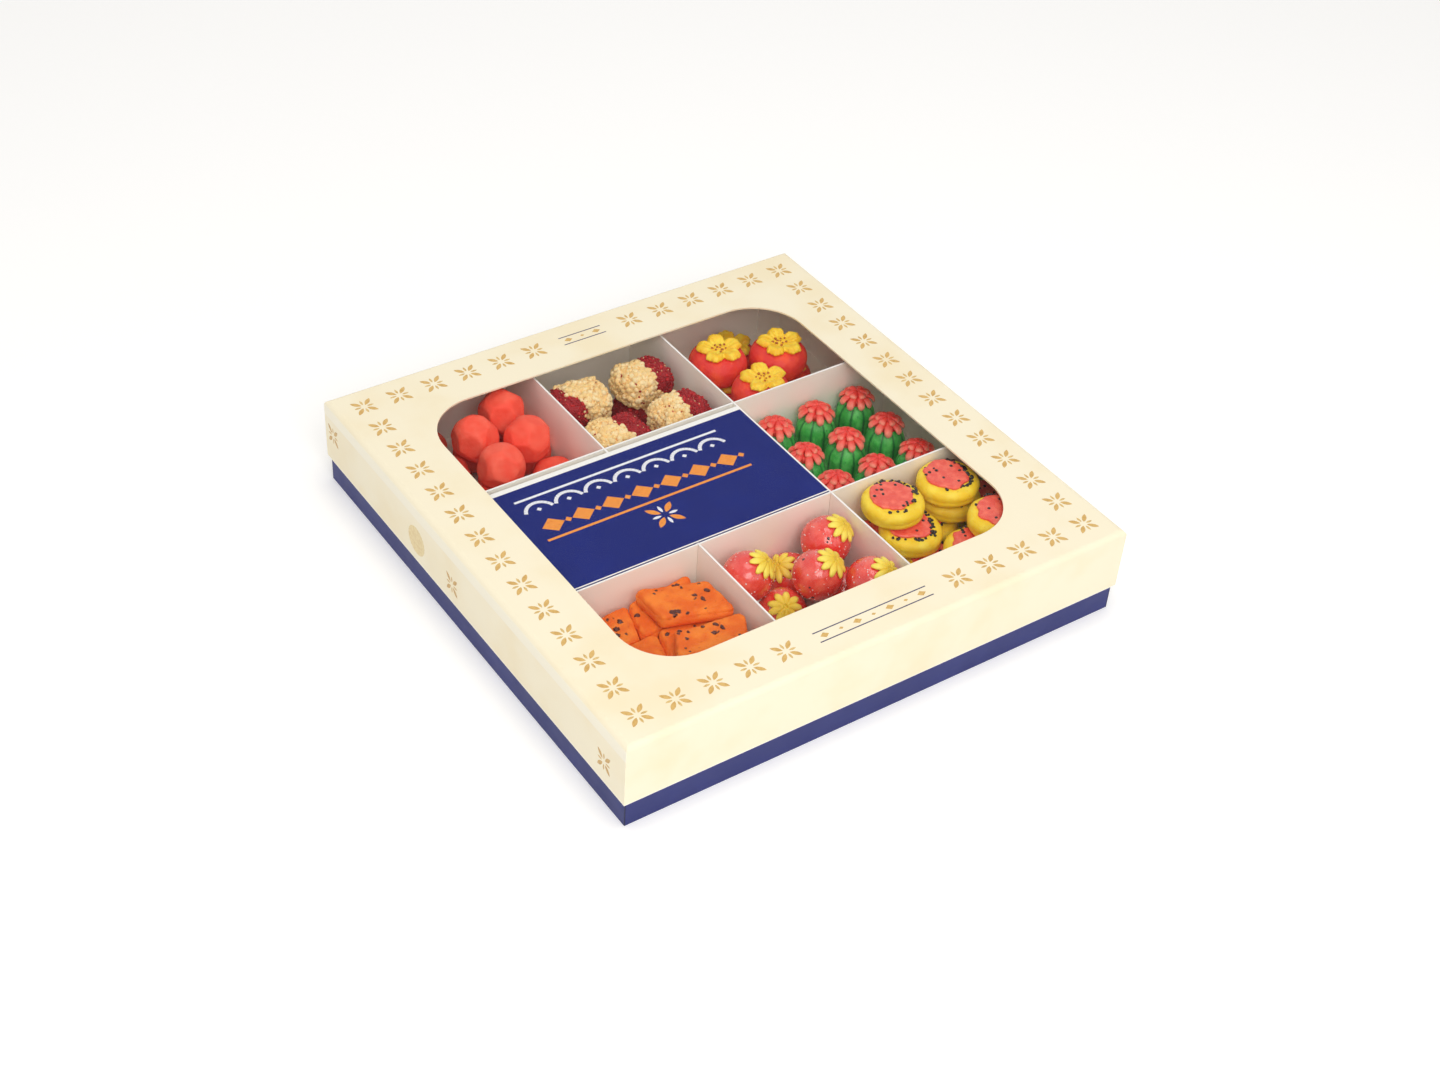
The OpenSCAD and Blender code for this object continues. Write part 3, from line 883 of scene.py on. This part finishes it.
def round_look():
    look = paste("round_paste", srgb(230, 56, 50), 0.55, 0.05, Specular_IOR_Level=0.35)
    look.spots(6, 3, 0.4, 0.72, srgb(248, 84, 50))
    look.spots(1.4, 3, 0.63, 0.78, srgb(253, 112, 76))
    look.sheen(3, 0.42, 0.62)
    look.lumps(0.7, 4, 0.16)
    look.lumps(4, 2, 0.4)
    return look.made


# Turn from one bead of a flower's heart to the next, in radians
BEAD_TURN = 2.4


def cupped_flower(shape, solid, number):
    """A thick flower of five cupped petals with ruffled rims and a beaded middle."""
    (d, _, h), base = stand(solid[0])
    r = d / 2
    rng = random.Random(500 + number)
    segs = 150
    angles = circle(segs)
    outline = np.array([lobes(a, 5, 1.15) for a in angles])
    off = (angles + math.pi / 5) % (2 * math.pi / 5) - math.pi / 5
    gap = np.exp(-((np.abs(off) - math.pi / 5) / 0.17) ** 2)
    ruffle = 0.028 * np.cos(15 * angles + rng.uniform(0, 6)) + 0.015 * np.cos(
        35 * angles + rng.uniform(0, 6))
    edge = r * (outline * (0.965 + ruffle) - 0.1 * gap)
    rings = [ring(edge * s, angles, z) for s, z in ((0.5, 0), (0.9, 0), (0.985, 0.22 * h))]
    for s in (1.0, 0.985, 0.95, 0.9, 0.82, 0.72, 0.6, 0.48, 0.36, 0.25, 0.14, 0.06):
        cup = 0.62 + 0.38 * np.exp(-((s - 0.78) / 0.2) ** 2) - 0.14 * np.exp(-((s - 0.3) / 0.16) ** 2)
        bend = 1 - math.exp(-(1.001 - s) / 0.045)
        z = h * (0.36 + (cup - 0.36) * bend) - 0.36 * h * gap * s ** 0.7 * bend
        vein = 0.05 * h * np.cos(3 * off * 5) * bend * s
        rings.append(ring(edge * s, angles, np.minimum(z + vein, h)))
    points, faces = loft(rings)
    points[:, 2] += 0.12 * field(points, 1.5, number + 80, 2) * (points[:, 2] > 0.3)
    points[:, 2] = np.clip(points[:, 2], 0, h)
    shape.add(points + base, faces)
    at = base + [0, 0, 0.55 * h]
    for k in range(10):
        a, reach = k * BEAD_TURN, 0.34 * math.sqrt(k / 10)
        spot = at + [r * reach * math.cos(a), r * reach * math.sin(a), 0]
        grain(shape, spot, (0, 0, 1), rng.uniform(0.55, 0.85), rng, 1, 2, 0.9, 0.06)


def yellow_looks():
    petals = paste("petal_yellow", srgb(252, 200, 34), 0.5, 0.08)
    petals.spots(4, 3, 0.4, 0.7, srgb(255, 222, 64))
    petals.spots(1.6, 3, 0.62, 0.76, srgb(240, 158, 24))
    petals.lumps(0.6, 3, 0.12)
    heart = Look("flower_heart", srgb(196, 110, 20), 0.55)
    heart.spots(1.2, 2, 0.45, 0.65, srgb(150, 66, 18))
    heart.lumps(0.4, 3, 0.1)
    return [petals.made, heart.made]


each("flowered_round", 3, flowered_round, [round_look()])
toppings("round_flowers", cupped_flower, yellow_looks())


# Green ribbed sweets

# Ribs round a green body
RIBS = 9
# Width of a green body as a share of its flower's, and its shoulder as a share of its width
BODY_SHARE = 1.11
SHOULDER_SHARE = 0.42


def green_sweet(name, number):
    size, base = stand(islands(name)[0][0])
    d, h = max(size[:2]), size[2]
    shape = Shape()
    segs = RIBS * 14
    profile = puck_profile(d, h, SHOULDER_SHARE * d, 14)
    rings = lathe(profile, segs, lambda a: 0.965 + 0.03 * abs(math.cos(a * RIBS / 2)) ** 0.6)
    points, faces = loft(rings)
    angle = np.arctan2(points[:, 1], points[:, 0])
    fine = 0.006 * np.cos(angle * RIBS * 6 + 2 * field(points, 9, number))
    wave = 0.02 * field(points, 7, number + 20, 2)
    groove = np.abs(np.cos(angle * RIBS / 2)) ** 0.6
    points[:, :2] *= (0.985 + fine + wave)[:, None]
    # The mark is high in the grooves between the ribs, where the paste is painted darker as shade.
    shape.add(points + base, faces, 0, 1 - groove)
    make(f"look_{name}", shape, [green_look], "tray", [name])


def green_paste():
    look = paste("green_paste", srgb(62, 176, 72), 0.42, 0.06)
    look.spots(6, 3, 0.4, 0.7, srgb(98, 208, 100))
    # Painted shade: a darker green where the mark is high, in the grooves between the ribs.
    look.marked(0.25, 0.9, srgb(24, 112, 48))
    look.paint(look.band(look.noise(0.9, 3, look.stretch(1, 1, 0.2)), 0.6, 0.75),
               srgb(34, 126, 54))
    look.sheen(3, 0.34, 0.55)
    look.bump(look.noise(0.7, 3, look.stretch(1, 1, 0.25)), 0.16)
    return look.made


def drooping_flower(shape, solid, number):
    """A domed flower of rounded petals whose tips bend down."""
    (d, _, h), base = stand(solid[0])
    r = d / 2
    rng = random.Random(700 + number)
    spin = rng.uniform(0, 1)
    shoulder = SHOULDER_SHARE * BODY_SHARE * 2 * r
    inner = BODY_SHARE * r - shoulder

    def under(x):
        """Height of the body's skin at a distance from its axis."""
        return math.sqrt(shoulder ** 2 - min(max(x - inner, 0), shoulder) ** 2) - shoulder

    u = np.linspace(0, 1, 11)
    for count, share, top, tip, wide in ((9, 1.0, 0.66, 2.5, 0.68), (6, 0.6, 0.98, 3.6, 0.72)):
        for k in range(count):
            a = spin + k * 2 * math.pi / count + rng.uniform(-0.08, 0.08)
            out = np.array([math.cos(a), math.sin(a), 0])
            long = r * share * rng.uniform(0.93, 1.0)
            run = long * (0.06 + 0.94 * np.sin(u * math.pi / 2))
            fall = u ** 2.3
            rise = (1 - fall) * h * top + fall * (under(long) + tip * rng.uniform(0.9, 1.3))
            width = 2 * math.pi * long / count * wide * (0.3 + 0.7 * np.sin(u * 2.1) ** 0.8)
            thick = 2.6 - 0.4 * u
            close = np.sqrt(np.clip(1 - ((u - 0.45) / 0.55) ** 4, 0.03, 1))
            line = [base + out * x + [0, 0, z] for x, z in zip(run, rise)]
            petal(shape, line, width * close, thick * close, (0, 0, 1), 12, u ** 2)
        spin += 0.4
    grain(shape, base + [0, 0, h * 0.86], (0, 0, 1), r * 0.2, rng, 0, 3, 0.5, 0.05)
    points, faces = loft(lathe(puck_profile(r * 1.3, h * 0.55 + 1.5, h * 0.3, 6, 0.3), 36))
    shape.add(points + base - [0, 0, 1.5], faces, 0)


def red_look():
    look = paste("petal_red", srgb(232, 54, 44), 0.42, 0.08)
    look.spots(3.2, 3, 0.42, 0.7, srgb(244, 76, 62))
    look.marked(0.1, 0.7, srgb(255, 148, 124))
    look.lumps(0.6, 3, 0.1)
    return look.made


green_look = green_paste()
for i in range(1, 10):
    green_sweet(f"green_sweet_{i}", i)
toppings("green_sweet_flowers", drooping_flower, [red_look()])


# Iced discs

# Radius of a disc's rolled edge
DISC_EDGE = 3.9


def iced_disc(shape, solid, number, level):
    (d, _, h), base = stand(solid[0])
    rings = lathe(puck_profile(d - 0.2, h, DISC_EDGE, 9), pick(level, 84, 48))
    points, faces = loft(rings)
    r = np.hypot(points[:, 0], points[:, 1])
    around = np.arctan2(points[:, 1], points[:, 0])
    wave = field(points, 8, number + 5, 1) * 0.45 + field(points, 2.2, number + 31, 2) * 0.12
    seam = 0.35 * np.exp(-((points[:, 2] - h * (0.42 + 0.06 * np.sin(around * 2 + number))) / 0.7)
                         ** 2)
    grow = 1 + (wave - 0.4 - seam) / (d / 2) * smooth_step(r, d * 0.2, d * 0.45)
    points[:, :2] *= grow[:, None]
    shape.add(points + base, faces)


def disc_look():
    look = paste("disc_paste", srgb(248, 208, 34), 0.55, 0.06)
    look.spots(7, 3, 0.4, 0.72, srgb(255, 226, 70))
    look.spots(1.8, 3, 0.64, 0.8, srgb(232, 180, 26))
    look.lumps(0.6, 4, 0.12)
    look.lumps(3, 2, 0.3)
    return look.made


# Seeds along the edge of the icing and on it, their size, and the side that they lie on
EDGE_SEEDS, TOP_SEEDS = 44, 8
SEED = 1.0
SEED_SIDE = math.atan2(-0.3, 1)
# Shift of the icing from the middle of its disc
ICING_SHIFT = np.array([-0.55, 0.84]) * 1.6


def place(reach, a, z):
    """A place on or beside the icing, at an angle round its shifted middle."""
    return np.array([reach * math.cos(a) + ICING_SHIFT[0],
                     reach * math.sin(a) + ICING_SHIFT[1], z])


def icing(shape, solid, number):
    """A soft icing patch with a wavy edge, and black seeds along one side."""
    (d, _, h), base = stand(solid[0])
    r = d / 2
    rng = random.Random(900 + number)
    segs = 96
    angles = circle(segs)
    edge = r * (0.93 + 0.16 * field(ring(1, angles, 0), 0.62, number, 2))
    rings = []
    for s, z in ((0.6, 0), (0.99, 0.0), (1.0, 0.35), (0.985, 0.68), (0.95, 0.9), (0.88, 0.98),
                 (0.7, 0.95), (0.5, 0.97), (0.3, 0.99), (0.12, 0.98)):
        rings.append(ring(edge * s, angles, h * z, ICING_SHIFT))
    points, faces = loft(rings)
    points[:, 2] += 0.16 * field(points, 3, number + 50, 2) * (points[:, 2] > 0.4 * h)
    points[:, 2] = np.clip(points[:, 2], 0, h)
    shape.add(points + base, faces)
    for _ in range(EDGE_SEEDS):
        a = rng.gauss(SEED_SIDE, 0.95)
        k = int(a / (2 * math.pi) * segs) % segs
        reach = edge[k] * rng.uniform(0.97, 1.2)
        spot = place(reach, a, 0.25 if reach > edge[k] else h)
        if np.hypot(*spot[:2]) > r * 1.24:
            continue
        grain(shape, base + spot, (0, 0, 1), SEED * rng.uniform(0.7, 1), rng, 1, 2, 0.6, 0.05)
    for _ in range(TOP_SEEDS):
        a, reach = rng.uniform(0, 2 * math.pi), r * math.sqrt(rng.random()) * 0.85
        spot = place(reach, a, h)
        grain(shape, base + spot, (0, 0, 1), SEED * rng.uniform(0.7, 1), rng, 1, 2, 0.45, 0.05)


def icing_look():
    look = paste("icing", srgb(240, 84, 68), 0.36, 0.06, Coat_Weight=0.15, Coat_Roughness=0.2)
    look.spots(4, 3, 0.4, 0.7, srgb(252, 114, 90))
    look.spots(1.4, 3, 0.62, 0.78, srgb(228, 58, 48))
    look.lumps(0.9, 3, 0.14)
    return look.made


def seed_look():
    look = Look("black_seed", srgb(30, 20, 20), 0.4)
    look.spots(0.6, 2, 0.5, 0.7, srgb(58, 40, 34))
    look.lumps(0.3, 3, 0.06)
    return look.made


each("iced_disc", 7, iced_disc, [disc_look()])
icing_made, black_seed = icing_look(), seed_look()
toppings("disc_icing", icing, [icing_made, black_seed])


# Glazed balls

# Sugar dots on a fine and on a coarse ball, and seeds on either
SUGAR_DOTS = (120, 50)
BALL_SEEDS = 7


def glazed_ball(shape, solid, number, level):
    middle, r = ball_of(solid[0])
    rng = random.Random(1100 + number)
    dirs, faces = ico(level)
    share = 0.985 + 0.02 * field(dirs, 0.8, number + 7, 1) + 0.004 * field(dirs, 0.12, number, 2)
    share = np.minimum(share, 1)
    shape.add(dirs * (r * share)[:, None] + middle, faces, 0)
    for _ in range(pick(level, *SUGAR_DOTS)):
        d = unit(any_way(rng))
        size = rng.uniform(0.2, 0.5)
        grain(shape, middle + d * r * 0.982, d, size, rng, 1, 1, 0.6, 0.1)
    for _ in range(BALL_SEEDS):
        d = unit(any_way(rng))
        grain(shape, middle + d * r * 0.98, d, rng.uniform(0.5, 0.8), rng, 2, 2, 0.5, 0.1)


def glazed_looks():
    look = Look("glazed_paste", srgb(236, 58, 46), 0.22, Subsurface_Weight=0.08,
                Subsurface_Scale=0.003, Coat_Weight=0.8, Coat_Roughness=0.07)
    look.spots(6, 3, 0.4, 0.7, srgb(251, 98, 80))
    look.spots(1.2, 3, 0.66, 0.8, srgb(254, 134, 114))
    look.sheen(2, 0.16, 0.34)
    look.lumps(1.6, 2, 0.18)
    sugar = Look("sugar_dot", srgb(250, 226, 222), 0.4)
    sugar.spots(0.5, 2, 0.5, 0.8, srgb(246, 190, 186))
    return [look.made, sugar.made, black_seed]


def lemon_look():
    look = paste("petal_lemon", srgb(238, 196, 40), 0.42, 0.08)
    look.marked(0.1, 0.7, srgb(255, 232, 92))
    look.spots(1.2, 3, 0.64, 0.78, srgb(232, 184, 40))
    look.lumps(0.6, 3, 0.1)
    return look.made


def wrapped_flower(shape, solid, number):
    """A flower of pointed petals that lies on the side of its ball."""
    points = solid[0]
    middle = points.mean(0)
    centre, r = min(balls, key=lambda b: abs(np.linalg.norm(middle - b[0]) - b[1] * 0.97)
                    + (0 if np.linalg.norm(middle - b[0]) < b[1] * 1.2 else 99))
    axis = unit(middle - centre)
    far = np.linalg.norm(points - centre, axis=1).max()
    rise = far - r
    turn = turn_to(axis)
    rng = random.Random(1300 + number)
    count = 9
    wide = math.asin(0.64)
    for k in range(count):
        a = k * 2 * math.pi / count + rng.uniform(-0.07, 0.07)
        u = np.linspace(0, 1, 9)
        bend = wide * (0.08 + 0.9 * u) * rng.uniform(0.96, 1.02)
        out = r + rise * (0.5 - 0.22 * u)
        line = [centre + turn @ (o * np.array([math.sin(b) * math.cos(a),
                                               math.sin(b) * math.sin(a), math.cos(b)]))
                for o, b in zip(out, bend)]
        width = 3.7 * np.sin(math.pi * (0.16 + 0.8 * u) ** 1.3) ** 0.7 + 0.3
        thick = rise * (0.95 - 0.3 * u) * np.sqrt(np.clip(1 - u ** 10, 0.05, 1))
        petal(shape, line, width, thick, axis, 10, u)
    for k in range(7):
        a, reach = k * BEAD_TURN, 0.14 * math.sqrt(k / 7)
        d = turn @ unit([reach * math.cos(a), reach * math.sin(a), 1])
        grain(shape, centre + d * (r + rise * 0.62), d, 0.9, rng, 0, 2, 0.75, 0.08)


each("glazed_ball", 4, glazed_ball, glazed_looks(), 4)
balls = [ball_of(solid[0]) for name in loose_and_bed("glazed_ball", 4) for solid in islands(name)]
toppings("glazed_flowers", wrapped_flower, [lemon_look()])


# Slanted biscuits

def outline_of(points, count):
    """Evenly spaced points on the convex outline of a solid seen from above."""
    flat = sorted({(round(p[0], 2), round(p[1], 2)) for p in points})

    def half(order):
        chain = []
        for p in order:
            while len(chain) > 1 and ((chain[-1][0] - chain[-2][0]) * (p[1] - chain[-2][1])
                                      - (chain[-1][1] - chain[-2][1]) * (p[0] - chain[-2][0])) <= 0:
                chain.pop()
            chain.append(p)
        return chain[:-1]

    hull = np.array(half(flat) + half(flat[::-1]))
    closed = np.concatenate([hull, hull[:1]])
    steps = np.hypot(*np.diff(closed, axis=0).T)
    run = np.concatenate([[0], np.cumsum(steps)])
    at = np.arange(count) * run[-1] / count
    return np.stack([np.interp(at, run, closed[:, 0]), np.interp(at, run, closed[:, 1])], 1)


# Radius of a biscuit's rounded edges, and its bits of fruit when it is fine and when it is coarse
BISCUIT_EDGE = 2.2
FRUIT_BITS = (17, 5)
# Pieces of biscuits, each with its level of detail and the seed of its first biscuit
BISCUITS = (("slanted_biscuit_1", FINE, 67), ("slanted_biscuit_2", FINE, 67),
            ("slanted_biscuit_layer", FINE, 71), ("slanted_biscuit_bed", COARSE, 49))


def biscuit(shape, solid, number, level):
    points = solid[0]
    low, high, _ = extent(points)
    h = high[2] - low[2]
    segs = pick(level, 120, 64)
    outline = outline_of(points, segs)
    centre = outline.mean(0)
    around = outline - centre
    reach = np.hypot(*around.T)
    rng = random.Random(1500 + number)

    def layer(share, z):
        """The outline at height z, drawn in to a share of its reach."""
        return np.column_stack([centre + around * share, np.full(segs, float(z))])

    rings = [layer(s, 0) for s in (0.3, 0.7)]
    edge = BISCUIT_EDGE
    arcs = [*(np.linspace(0, math.pi / 2, 6) - math.pi / 2), *np.linspace(0, math.pi / 2, 7)]
    for a in arcs:
        inset = edge * (1 - math.cos(a)) + 0.25
        z = edge + edge * math.sin(a) if a < 0 else h - edge + edge * math.sin(a)
        rings.append(layer((1 - inset / reach)[:, None], z))
    rings += [layer(s, h) for s in (0.75, 0.6, 0.45, 0.3, 0.15)]
    mesh, faces = loft(rings)
    wave = field(mesh, 7, number + 3, 2)
    crack = field(mesh, 2.0, number + 70, 2)
    top = mesh[:, 2] > 0.5
    mesh[:, 2] += top * (0.45 * wave + 0.3 * crack - 0.5)
    mesh[:, 2] = np.clip(mesh[:, 2], 0, h)
    pull = 1 + np.where(top, 0.02 * wave + 0.012 * crack, 0) - 0.014
    mesh[:, :2] = centre + (mesh[:, :2] - centre) * pull[:, None]
    mesh[:, 2] += low[2]
    shape.add(mesh, faces, 0)
    for _ in range(pick(level, *FRUIT_BITS)):
        k, s = rng.randrange(segs), math.sqrt(rng.random()) * 0.9
        spot = np.array([*(centre + around[k] * s), high[2] - 0.75])
        grain(shape, spot, (rng.gauss(0, 0.2), rng.gauss(0, 0.2), 1), rng.uniform(0.6, 1.7), rng,
              1, 2, 0.5, 0.34)


def biscuit_looks():
    look = paste("biscuit_dough", srgb(240, 106, 26), 0.66, 0.04, Specular_IOR_Level=0.3)
    look.spots(9, 3, 0.38, 0.7, srgb(252, 136, 44))
    look.spots(1.6, 4, 0.6, 0.76, srgb(208, 82, 18))
    look.lumps(0.8, 4, 0.3)
    look.lumps(3.4, 3, 0.5)
    dark = Look("baked_fruit", srgb(92, 34, 14), 0.45)
    dark.spots(0.8, 2, 0.5, 0.7, srgb(54, 18, 10))
    dark.lumps(0.5, 3, 0.12)
    return [look.made, dark.made]


dough = biscuit_looks()
for name, level, seed in BISCUITS:
    shape = Shape()
    for number, solid in enumerate(islands(name), seed):
        biscuit(shape, solid, number, level)
    make(f"look_{name}", shape, dough, "tray", [name])


# Camera, light and floor

def camera():
    az, el, roll = rad(AZIMUTH), rad(ELEVATION), rad(ROLL)
    ahead = -np.array([math.sin(az) * math.cos(el), -math.cos(az) * math.cos(el), math.sin(el)])
    right = unit(np.cross(ahead, [0, 0, 1]))
    up = np.cross(right, ahead)
    right, up = (math.cos(roll) * right + math.sin(roll) * up,
                 math.cos(roll) * up - math.sin(roll) * right)
    data = bpy.data.cameras.new("camera")
    data.sensor_width = SENSOR_MM
    data.lens = FOCAL_PX * SENSOR_MM / PHOTO_W
    data.clip_start = 0.01
    view = thing("camera", data)
    pose = np.eye(4)
    pose[:3, 0], pose[:3, 1], pose[:3, 2] = right, up, -ahead
    pose[:3, 3] = np.array(CAMERA_AT) * MM
    view.matrix_world = Matrix(pose.tolist())
    bpy.context.scene.camera = view


# Colour of the slightly warm light, the lamps, and the strength of the light from all round
WARM = (1.0, 0.985, 0.96)
LAMPS = (("key", (-0.5, -1.05, 1.12), 0.8, 9.2, WARM), ("fill", (0.5, -1.4, 0.8), 0.9, 1.6,
         (1, 0.99, 0.97)), ("top", (0, -0.1, 1.9), 0.8, 5.8, WARM))
AROUND = 0.6


def lamp(name, at, size, power, colour):
    """A soft square lamp that faces the middle of the box, with its place and size in metres."""
    data = bpy.data.lights.new(name, "AREA")
    data.size = size
    data.energy = power
    data.color = colour
    made = thing(name, data)
    made.location = at
    made.rotation_euler = (-Vector(at)).to_track_quat("-Z", "Y").to_euler()


def straight_rays(tree):
    """1 for rays that show the surroundings as they are: the camera's, reflected and let through."""
    path = tree.nodes.new("ShaderNodeLightPath")
    seen = path.outputs["Is Camera Ray"]
    for kind in ("Is Glossy Ray", "Is Transmission Ray"):
        both = tree.nodes.new("ShaderNodeMath")
        both.operation = "MAXIMUM"
        tree.links.new(seen, both.inputs[0])
        tree.links.new(path.outputs[kind], both.inputs[1])
        seen = both.outputs[0]
    return seen


def world(light):
    """Even light from all round, and white for whatever looks straight at it."""
    made = bpy.data.worlds.new("studio")
    bpy.context.scene.world = made
    made.use_nodes = True
    tree = made.node_tree
    tree.nodes.clear()
    out = tree.nodes.new("ShaderNodeOutputWorld")
    mix = tree.nodes.new("ShaderNodeMixShader")
    plain, white = (tree.nodes.new("ShaderNodeBackground") for _ in range(2))
    plain.inputs["Color"].default_value = (*WARM, 1)
    plain.inputs["Strength"].default_value = light
    white.inputs["Color"].default_value = (1, 1, 1, 1)
    tree.links.new(straight_rays(tree), mix.inputs[0])
    tree.links.new(plain.outputs[0], mix.inputs[1])
    tree.links.new(white.outputs[0], mix.inputs[2])
    tree.links.new(mix.outputs[0], out.inputs[0])


# Light that the floor adds for whatever looks straight at it, so that it shows white
FLOOR_GLOW = 0.14
# Radius of the floor in metres
FLOOR_R = 6.0


def floor():
    """A wide pale floor that the box stands on."""
    mesh = bpy.data.meshes.new("floor")
    segs = 96
    mesh.from_pydata(ring(FLOOR_R, circle(segs), 0).tolist(), [], [tuple(range(segs))])
    made = thing("floor", mesh)
    look = Look("floor_paper", srgb(252, 252, 252), 0.9)
    look.shader.inputs["Specular IOR Level"].default_value = 0.1
    glow = look.node("ShaderNodeEmission")
    look.put(glow.inputs["Strength"], look.sum("MULTIPLY", straight_rays(look.tree), FLOOR_GLOW))
    both = look.node("ShaderNodeAddShader")
    look.put(both.inputs[0], look.shader.outputs[0])
    look.put(both.inputs[1], glow.outputs[0])
    look.put(look.tree.nodes["Material Output"].inputs["Surface"], both.outputs[0])
    mesh.materials.append(look.made)


camera()
for values in LAMPS:
    lamp(*values)
world(AROUND)
floor()
bpy.context.scene.view_settings.view_transform = "Standard"
